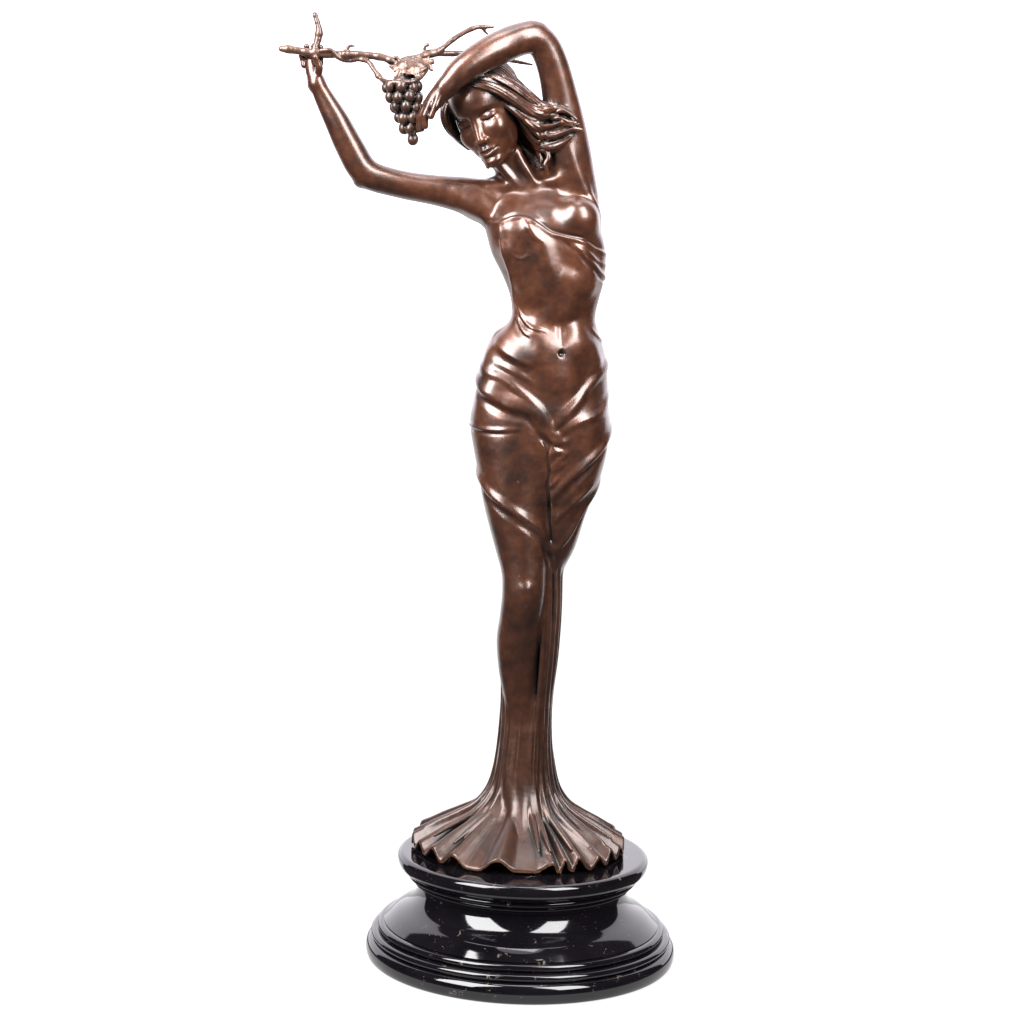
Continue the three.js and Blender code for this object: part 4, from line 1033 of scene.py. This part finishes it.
def make_figure(sizes, material):
    coarse = 1.0
    runs = [
        [(-201, 0.75), (-108, 0.62), (32, 1.05), (88, 0)],
        [(-80, 1.0), (-56, 0.62), (0, 1.1), (92, 0)],
        [(-2, 0.8), (34, 1.1), (480, 0.95), (553, 0.62), (640, 0.9), (676, 0)],
    ]
    clay = Clay(*[even_runs(*[(at, step * coarse) for at, step in stops]) for stops in runs])
    model_body(clay, sizes)
    dress_body(clay)
    for path in SHOULDERS:
        clay.rod(path, 6)
    clay.rod(NECK, 4)
    clay.rod(BRANCH_ARM, 6)
    clay.rod(BENT_ARM, 5)
    for path, width in LIMB_FORMS:
        clay.rod(path, width)
    model_hand(clay, BRANCH_HAND)
    model_hand(clay, BENT_HAND)
    model_head(clay)
    for rows, flat, strands in HAIR_LOCKS:
        model_lock(clay, rows, flat, strands)
    # room for the vine where the hands hold it
    cuts, _ = clay.box((-215, -48, 570), (-8, 16, 674))
    grip = Clay(*[a[c] for a, c in zip(clay.axes, cuts)])
    model_vine(grip, sizes, 0.25)
    clay.cut(cuts, grip.gap, 0)
    cast(clay, "bronze_figure", "figure", material, MOST_FIGURE_TRIANGLES)


def make_vine(sizes, material):
    step = 0.6
    ends = ((-216, -8), (-46, 16), (568, 676))
    clay = Clay(*[even_runs((low, step), (high, 0)) for low, high in ends])
    model_vine(clay, sizes)
    cast(clay, "bronze_vine_branch", "vine_branch", material, MOST_VINE_TRIANGLES)


def plinth_outline():
    """Radius and height from the middle of the underside to the middle of the top."""
    points = [(0, 0), (60, 0)] + [(FOOT_RADIUS - inset, z) for inset, z in FOOT_EDGE]
    z = 16.6

    def ring(radius, height, swell, steps):
        nonlocal z
        a = np.pi * (np.arange(steps) / (steps - 1) - 0.5)
        points.extend(zip(radius + swell * np.cos(a), z + height * (0.5 + 0.499 * np.sin(a))))
        z += height

    ring(FOOT_RADIUS - 7.4, 6.3, 3.3, 11)
    points.append((FOOT_RADIUS - 10.6, z + 0.15))
    ring(FOOT_RADIUS - 12.8, 6.5, 3.2, 11)
    points.append((FOOT_RADIUS - 15.6, z + 0.2))
    points.extend((radius, height) for radius, _, height in smooth_path(WAIST, 3))
    z = 62.8
    ring(TOP_RADIUS - 15, 5.0, 2.4, 9)
    points.append((TOP_RADIUS - 13.2, z + 0.15))
    ring(TOP_RADIUS - 10.5, 5.1, 2.4, 9)
    points.append((TOP_RADIUS - 8.4, z + 0.15))
    # the top disc's rim is widest above its middle and draws in below
    low = np.radians(np.linspace(0, 90, 12))[1:]
    high = np.radians(np.linspace(0, 90, 9))[1:]
    widest = 83.6
    points.extend(zip(TOP_RADIUS - 8 + 8 * np.sin(low), widest - 10.4 * np.cos(low)))
    points.extend(zip(TOP_RADIUS - 4.5 + 4.5 * np.cos(high), widest + (PLINTH_TOP - widest) * np.sin(high)))
    points.extend([(TOP_RADIUS - 7, PLINTH_TOP), (60, PLINTH_TOP), (0, PLINTH_TOP)])
    return np.array(points, float)


def make_plinth(material):
    """The outline carried round the upright axis, closed at both middles."""
    sides = PLINTH_SIDES
    turn = np.arange(sides) / sides * 2 * np.pi
    ring = plinth_outline()[1:-1]
    x = ring[:, :1] * np.cos(turn)
    y = ring[:, :1] * np.sin(turn)
    z = np.repeat(ring[:, 1:], sides, 1)
    vertices = np.stack([x, y, z], -1).reshape(-1, 3)
    low, high = len(vertices), len(vertices) + 1
    vertices = np.vstack([vertices, [0, 0, 0], [0, 0, PLINTH_TOP]])
    i, j = np.meshgrid(np.arange(len(ring) - 1), np.arange(sides), indexing="ij")
    a, b = i * sides + j, i * sides + (j + 1) % sides
    around = np.stack([a, b, b + sides, a + sides], -1).reshape(-1, 4)
    j = np.arange(sides)
    last = (len(ring) - 1) * sides
    faces = around.tolist()
    faces += np.stack([np.full(sides, low), (j + 1) % sides, j], 1).tolist()
    faces += np.stack([np.full(sides, high), last + j, last + (j + 1) % sides], 1).tolist()
    piece = new_object("marble_plinth", (vertices * MM).tolist(), faces, material, True)
    piece.data.set_sharp_from_angle(angle=np.radians(SHARP_TURN))
    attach(piece, "root")
    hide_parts("plinth")


# Materials


def linear(code):
    """An sRGB hex colour as linear values."""
    values = [int(code[i:i + 2], 16) / 255 for i in (1, 3, 5)]
    return [v / 12.92 if v <= 0.04045 else ((v + 0.055) / 1.055) ** 2.4 for v in values] + [1]


class Nodes:
    """A new material and a short way to add a node with its settings and links."""

    def __init__(self, name):
        self.material = bpy.data.materials.new(name)
        self.material.use_nodes = True
        self.tree = self.material.node_tree
        self.shader = self.tree.nodes["Principled BSDF"]

    def add(self, kind, inputs=None, **settings):
        node = self.tree.nodes.new(kind)
        for key, value in settings.items():
            setattr(node, key, value)
        for key, value in (inputs or {}).items():
            self.feed(node.inputs[key], value)
        return node

    def feed(self, socket, value):
        if isinstance(value, bpy.types.NodeSocket):
            self.tree.links.new(value, socket)
        else:
            socket.default_value = value

    def ramp(self, value, stops):
        node = self.add("ShaderNodeValToRGB", {"Fac": value})
        while len(node.color_ramp.elements) < len(stops):
            node.color_ramp.elements.new(0.5)
        for element, (place, colour) in zip(node.color_ramp.elements, stops):
            element.position = place
            element.color = linear(colour) if isinstance(colour, str) else [colour] * 3 + [1]
        return node.outputs["Color"]

    def mix(self, share, a, b):
        node = self.add("ShaderNodeMix", data_type="RGBA")
        self.feed(node.inputs["Factor"], share)
        self.feed(node.inputs["A"], a)
        self.feed(node.inputs["B"], b)
        return node.outputs["Result"]

    def noise(self, place, millimetres, detail, rough):
        inputs = {"Vector": place, "Scale": 1 / (millimetres * MM), "Detail": detail, "Roughness": rough}
        return self.add("ShaderNodeTexNoise", inputs).outputs["Fac"]

    def math(self, operation, *values):
        node = self.add("ShaderNodeMath", operation=operation)
        for socket, value in zip(node.inputs, values):
            self.feed(socket, value)
        return node.outputs["Value"]

    def spot(self, place, middle, radius, ragged):
        """1 within a round spot with a ragged edge, 0 outside it."""
        ends = {0: place, 1: [v * MM for v in middle]}
        off = self.add("ShaderNodeVectorMath", ends, operation="DISTANCE").outputs["Value"]
        far = self.math("ADD", self.math("MULTIPLY", off, 1 / (radius * MM)), ragged)
        return self.ramp(far, [(0.0, 1.0), (1.0, 0.0)])


def bronze(name, dark, middle, light, crest, spots=True, dull=0.0):
    """Cast bronze, chemically browned and waxed: near black in the hollows, partly from the patina kept there
    and partly as painted shade, an even brown on the skin with painted shade darkening it towards the hem,
    paler where hands have rubbed the ridges. The patina is an oxide that covers about half of the metal's own
    shine, and the wax over it is glossy and gives white lights. Dull bronze is rougher and has less wax."""
    n = Nodes(name)
    place = n.add("ShaderNodeTexCoord").outputs["Object"]
    hollow = n.add("ShaderNodeAttribute", attribute_name="hollow").outputs["Fac"]
    ridge = n.add("ShaderNodeAttribute", attribute_name="ridge").outputs["Fac"]
    cloud = n.noise(place, 34, 4, 0.55)
    grain = n.noise(place, 2.6, 5, 0.62)
    blotch = n.noise(place, 9, 4, 0.6)
    tone = n.math("ADD", n.math("MULTIPLY", cloud, 0.6), n.math("MULTIPLY", blotch, 0.4))
    skin = n.ramp(tone, [(0.36, dark), (0.5, middle), (0.64, light)])
    skin = n.mix(n.ramp(grain, [(0.55, 0.0), (0.75, 0.4)]), skin, linear(dark))
    # painted shade: the brown darkens towards the hem, so the spread skirt looks as if it lay in less light
    height = n.add("ShaderNodeSeparateXYZ", {"Vector": place}).outputs["Z"]
    skin = n.mix(n.ramp(height, [(0.14, 0.62), (0.3, 0.35), (0.52, 0.0)]), skin, linear("#1f120b"))
    handled = n.ramp(ridge, [(0.2, 0.0), (0.6, 0.7)])
    rubbed = n.math("MULTIPLY", handled, n.ramp(grain, [(0.25, 0.4), (0.6, 1.0)]))
    skin = n.mix(rubbed, skin, linear(crest))
    # near black in the hollows: partly the dark patina kept there, partly painted shade
    skin = n.mix(n.ramp(hollow, [(0.14, 0.0), (0.66, 0.95)]), skin, linear("#120b08"))
    worn = n.math("ADD", n.math("MULTIPLY", hollow, 0.5), n.math("MULTIPLY", grain, 0.3))
    rough = n.ramp(worn, [(0.05, 0.35 + dull), (0.6, 0.52 + dull)])
    if spots:
        # bare metal where the patina has worn through on the thigh and the knee
        ragged = n.math("MULTIPLY", n.noise(place, 3.4, 4, 0.7), 1.3)
        for x, y, z, radius in BARE_SPOTS:
            skin = n.mix(n.spot(place, (x, y, SEAT + z), radius, ragged), skin, linear("#c08a4c"))
    n.feed(n.shader.inputs["Base Color"], skin)
    n.feed(n.shader.inputs["Roughness"], rough)
    n.shader.inputs["Metallic"].default_value = BARE_METAL_SHARE
    n.feed(n.shader.inputs["Coat Weight"], n.ramp(height, [(0.12, 0.35), (0.32, 1 - 5 * dull)]))
    n.shader.inputs["Coat Roughness"].default_value = 0.24
    fine = {"Height": n.noise(place, 1.1, 4, 0.6), "Strength": 0.05 + dull, "Distance": 0.0004}
    grit = n.add("ShaderNodeBump", fine).outputs["Normal"]
    worked = {"Height": n.noise(place, 15, 2, 0.5), "Strength": 0.5, "Distance": 0.0022, "Normal": grit}
    n.feed(n.shader.inputs["Normal"], n.add("ShaderNodeBump", worked).outputs["Normal"])
    return n.material


def black_marble():
    """Black marble, turned and polished: fine pale specks and a few short broken veins under a mirror
    gloss."""
    n = Nodes("Black marble, turned and polished")
    place = n.add("ShaderNodeTexCoord").outputs["Object"]
    cloud = n.noise(place, 60, 4, 0.6)
    stone = n.ramp(cloud, [(0.35, "#060507"), (0.7, "#0e0c10")])
    warp = n.add("ShaderNodeTexNoise", {"Vector": place, "Scale": 70.0, "Detail": 3.0}).outputs["Color"]
    bend = {0: place, 1: warp, 2: [0.012] * 3}
    bent = n.add("ShaderNodeVectorMath", bend, operation="MULTIPLY_ADD").outputs["Vector"]
    cracks = n.add("ShaderNodeTexVoronoi", {"Vector": bent, "Scale": 34.0}, feature="DISTANCE_TO_EDGE")
    broken = n.ramp(n.noise(place, 15, 3, 0.55), [(0.6, 0.0), (0.68, 0.45)])
    vein = n.math("MULTIPLY", n.ramp(cracks.outputs["Distance"], [(0.004, 1.0), (0.022, 0.0)]), broken)
    stone = n.mix(vein, stone, linear("#9a8f84"))
    cells = n.add("ShaderNodeTexVoronoi", {"Vector": place, "Scale": 520.0}).outputs["Distance"]
    strewn = n.ramp(n.noise(place, 8, 3, 0.6), [(0.58, 0.0), (0.68, 0.55)])
    fleck = n.math("MULTIPLY", n.ramp(cells, [(0.1, 1.0), (0.18, 0.0)]), strewn)
    stone = n.mix(fleck, stone, linear("#b9ad9c"))
    n.feed(n.shader.inputs["Base Color"], stone)
    n.feed(n.shader.inputs["Roughness"], n.ramp(cloud, [(0.3, 0.05), (0.7, 0.09)]))
    return n.material


def plain(name, colour, glow=0.0):
    """One matt colour, which may glow: the studio paper, or the dark sheet round the front of the table,
    whose near-black colour is painted shade for the unlit room.
    """
    n = Nodes(name)
    n.shader.inputs["Base Color"].default_value = linear(colour)
    n.shader.inputs["Roughness"].default_value = 0.9
    n.shader.inputs["Specular IOR Level"].default_value = 0.0
    n.shader.inputs["Emission Color"].default_value = (1, 1, 1, 1)
    n.shader.inputs["Emission Strength"].default_value = glow
    return n.material


# Stage


def stand(thing, right, up, back, place):
    """Puts a new light or camera at its place, turned to the given directions."""
    turn = np.eye(4)
    turn[:3, :3] = np.column_stack([right, up, back])
    turn[:3, 3] = place
    thing.matrix_world = Matrix(turn.tolist())
    bpy.context.scene.collection.objects.link(thing)


def soft_light(name, place, size, power):
    data = bpy.data.lights.new(name, "AREA")
    data.shape = "RECTANGLE"
    data.size, data.size_y = size
    data.energy = power
    back = unit(np.subtract(place, LIT_PLACE))
    side = unit(np.cross((0, 0, 1), back))
    stand(bpy.data.objects.new(name, data), side, np.cross(back, side), back, place)


def make_floor():
    """A wide round sheet of studio paper. It glows, so that it looks about as white as the room."""
    turn = np.arange(FLOOR_SIDES) / FLOOR_SIDES * 2 * np.pi
    depth = np.full(FLOOR_SIDES, -FLOOR_DROP)
    rim = np.stack([FLOOR_RADIUS * np.cos(turn), FLOOR_RADIUS * np.sin(turn), depth], 1)
    paper = plain("White studio paper", "#5a5a5a", 0.86)
    floor = new_object("floor", rim.tolist(), [list(range(FLOOR_SIDES))], paper, False)


def make_dark(name, profile, seen_by_matt):
    """A part of the unlit room in front of the table, as a dark sheet whose colour is painted shade. The
    camera doesn't see it, but polished things mirror it, and where seen_by_matt is true it keeps the room's
    light from matt surfaces too."""
    turns = np.radians(np.linspace(-DARK_ROOM_TURN, DARK_ROOM_TURN, DARK_ROOM_STRIPS + 1))
    ring = [[r * np.sin(a), -r * np.cos(a), z] for r, z in profile for a in turns]
    count = len(turns)
    faces = [
        [i * count + j, i * count + j + 1, (i + 1) * count + j + 1, (i + 1) * count + j]
        for i in range(len(profile) - 1) for j in range(count - 1)
    ]
    # painted shade: the sheet's near-black colour stands for the dark of the unlit room
    room = new_object(name, ring, faces, plain("Dark sheet, painted shade of the unlit room", "#2a2628"), False)
    room.visible_camera = False
    room.visible_diffuse = seen_by_matt
    room.visible_shadow = False
    room.visible_transmission = False


def make_stage():
    make_floor()
    make_dark("dark_wall", [(3.4, 0.3), (3.4, 2.4), (2.8, 3.6), (0.8, 4.3)], True)
    make_dark("dark_table", [(0.16, 0.002), (3.2, 0.002), (3.4, 0.3)], False)
    for light in LIGHTS:
        soft_light(*light)
    world = bpy.data.worlds.new("white_room")
    world.use_nodes = True
    world.node_tree.nodes["Background"].inputs["Color"].default_value = ROOM_COLOUR
    world.node_tree.nodes["Background"].inputs["Strength"].default_value = ROOM_STRENGTH
    bpy.context.scene.world = world
    bpy.context.scene.view_settings.view_transform = "Standard"
    data = bpy.data.cameras.new("camera")
    data.lens = 85
    data.sensor_width = 36
    camera = bpy.data.objects.new("camera", data)
    right, up = unit(CAMERA_RIGHT), unit(CAMERA_UP)
    stand(camera, right, up, np.cross(right, up), CAMERA_PLACE)
    bpy.context.scene.camera = camera


# Add-on


class StatueSizes(bpy.types.PropertyGroup):
    hem_radius: bpy.props.FloatProperty(
        name="Hem radius", description="Half the width of the spread skirt", default=0.089, unit="LENGTH")
    pleat_lift: bpy.props.FloatProperty(
        name="Pleat lift", description="How far a pleat's crest stands over its trough at the hem",
        default=0.0085, unit="LENGTH")
    cloth_edge: bpy.props.FloatProperty(
        name="Cloth edge", description="Thickness of the cast cloth at the hem",
        default=0.0026, unit="LENGTH")
    grape_radius: bpy.props.FloatProperty(
        name="Grape radius", description="Half the width of a grape", default=0.0043, unit="LENGTH")


class STATUE_OT_figure(bpy.types.Operator):
    """Casts the draped figure with its hair and hands"""

    bl_idname = "statue.figure"
    bl_label = "Bronze figure"

    def execute(self, context):
        patina = bronze("Cast bronze, browned and waxed", "#2b170e", "#462413", "#5b331f", "#8d6549")
        make_figure(context.scene.statue_sizes, patina)
        return {"FINISHED"}


class STATUE_OT_vine(bpy.types.Operator):
    """Casts the vine branch with its leaves and bunch of grapes"""

    bl_idname = "statue.vine"
    bl_label = "Bronze vine branch"

    def execute(self, context):
        name = "Cast bronze, browned and left dull"
        patina = bronze(name, "#33211a", "#4a3025", "#5c4134", "#86675a", False, 0.06)
        make_vine(context.scene.statue_sizes, patina)
        return {"FINISHED"}


class STATUE_OT_plinth(bpy.types.Operator):
    """Turns the marble plinth"""

    bl_idname = "statue.plinth"
    bl_label = "Marble plinth"

    def execute(self, context):
        make_plinth(black_marble())
        return {"FINISHED"}


class STATUE_OT_stage(bpy.types.Operator):
    """Lays the paper, hangs the lights and stands the camera"""

    bl_idname = "statue.stage"
    bl_label = "Stage"

    def execute(self, context):
        make_stage()
        return {"FINISHED"}


class STATUE_PT_panel(bpy.types.Panel):
    bl_idname = "STATUE_PT_panel"
    bl_label = "Statue"
    bl_space_type = "VIEW_3D"
    bl_region_type = "UI"
    bl_category = "Statue"

    def draw(self, context):
        for name in StatueSizes.__annotations__:
            self.layout.prop(context.scene.statue_sizes, name)
        for operator in (STATUE_OT_figure, STATUE_OT_vine, STATUE_OT_plinth, STATUE_OT_stage):
            self.layout.operator(operator.bl_idname)


CLASSES = (StatueSizes, STATUE_OT_figure, STATUE_OT_vine, STATUE_OT_plinth, STATUE_OT_stage, STATUE_PT_panel)


def register():
    for made in CLASSES:
        bpy.utils.register_class(made)
    bpy.types.Scene.statue_sizes = bpy.props.PointerProperty(type=StatueSizes)


def unregister():
    del bpy.types.Scene.statue_sizes
    for made in reversed(CLASSES):
        bpy.utils.unregister_class(made)


def main():
    register()
    bpy.ops.statue.figure()
    bpy.ops.statue.vine()
    bpy.ops.statue.plinth()
    bpy.ops.statue.stage()


if __name__ == "__main__":
    main()
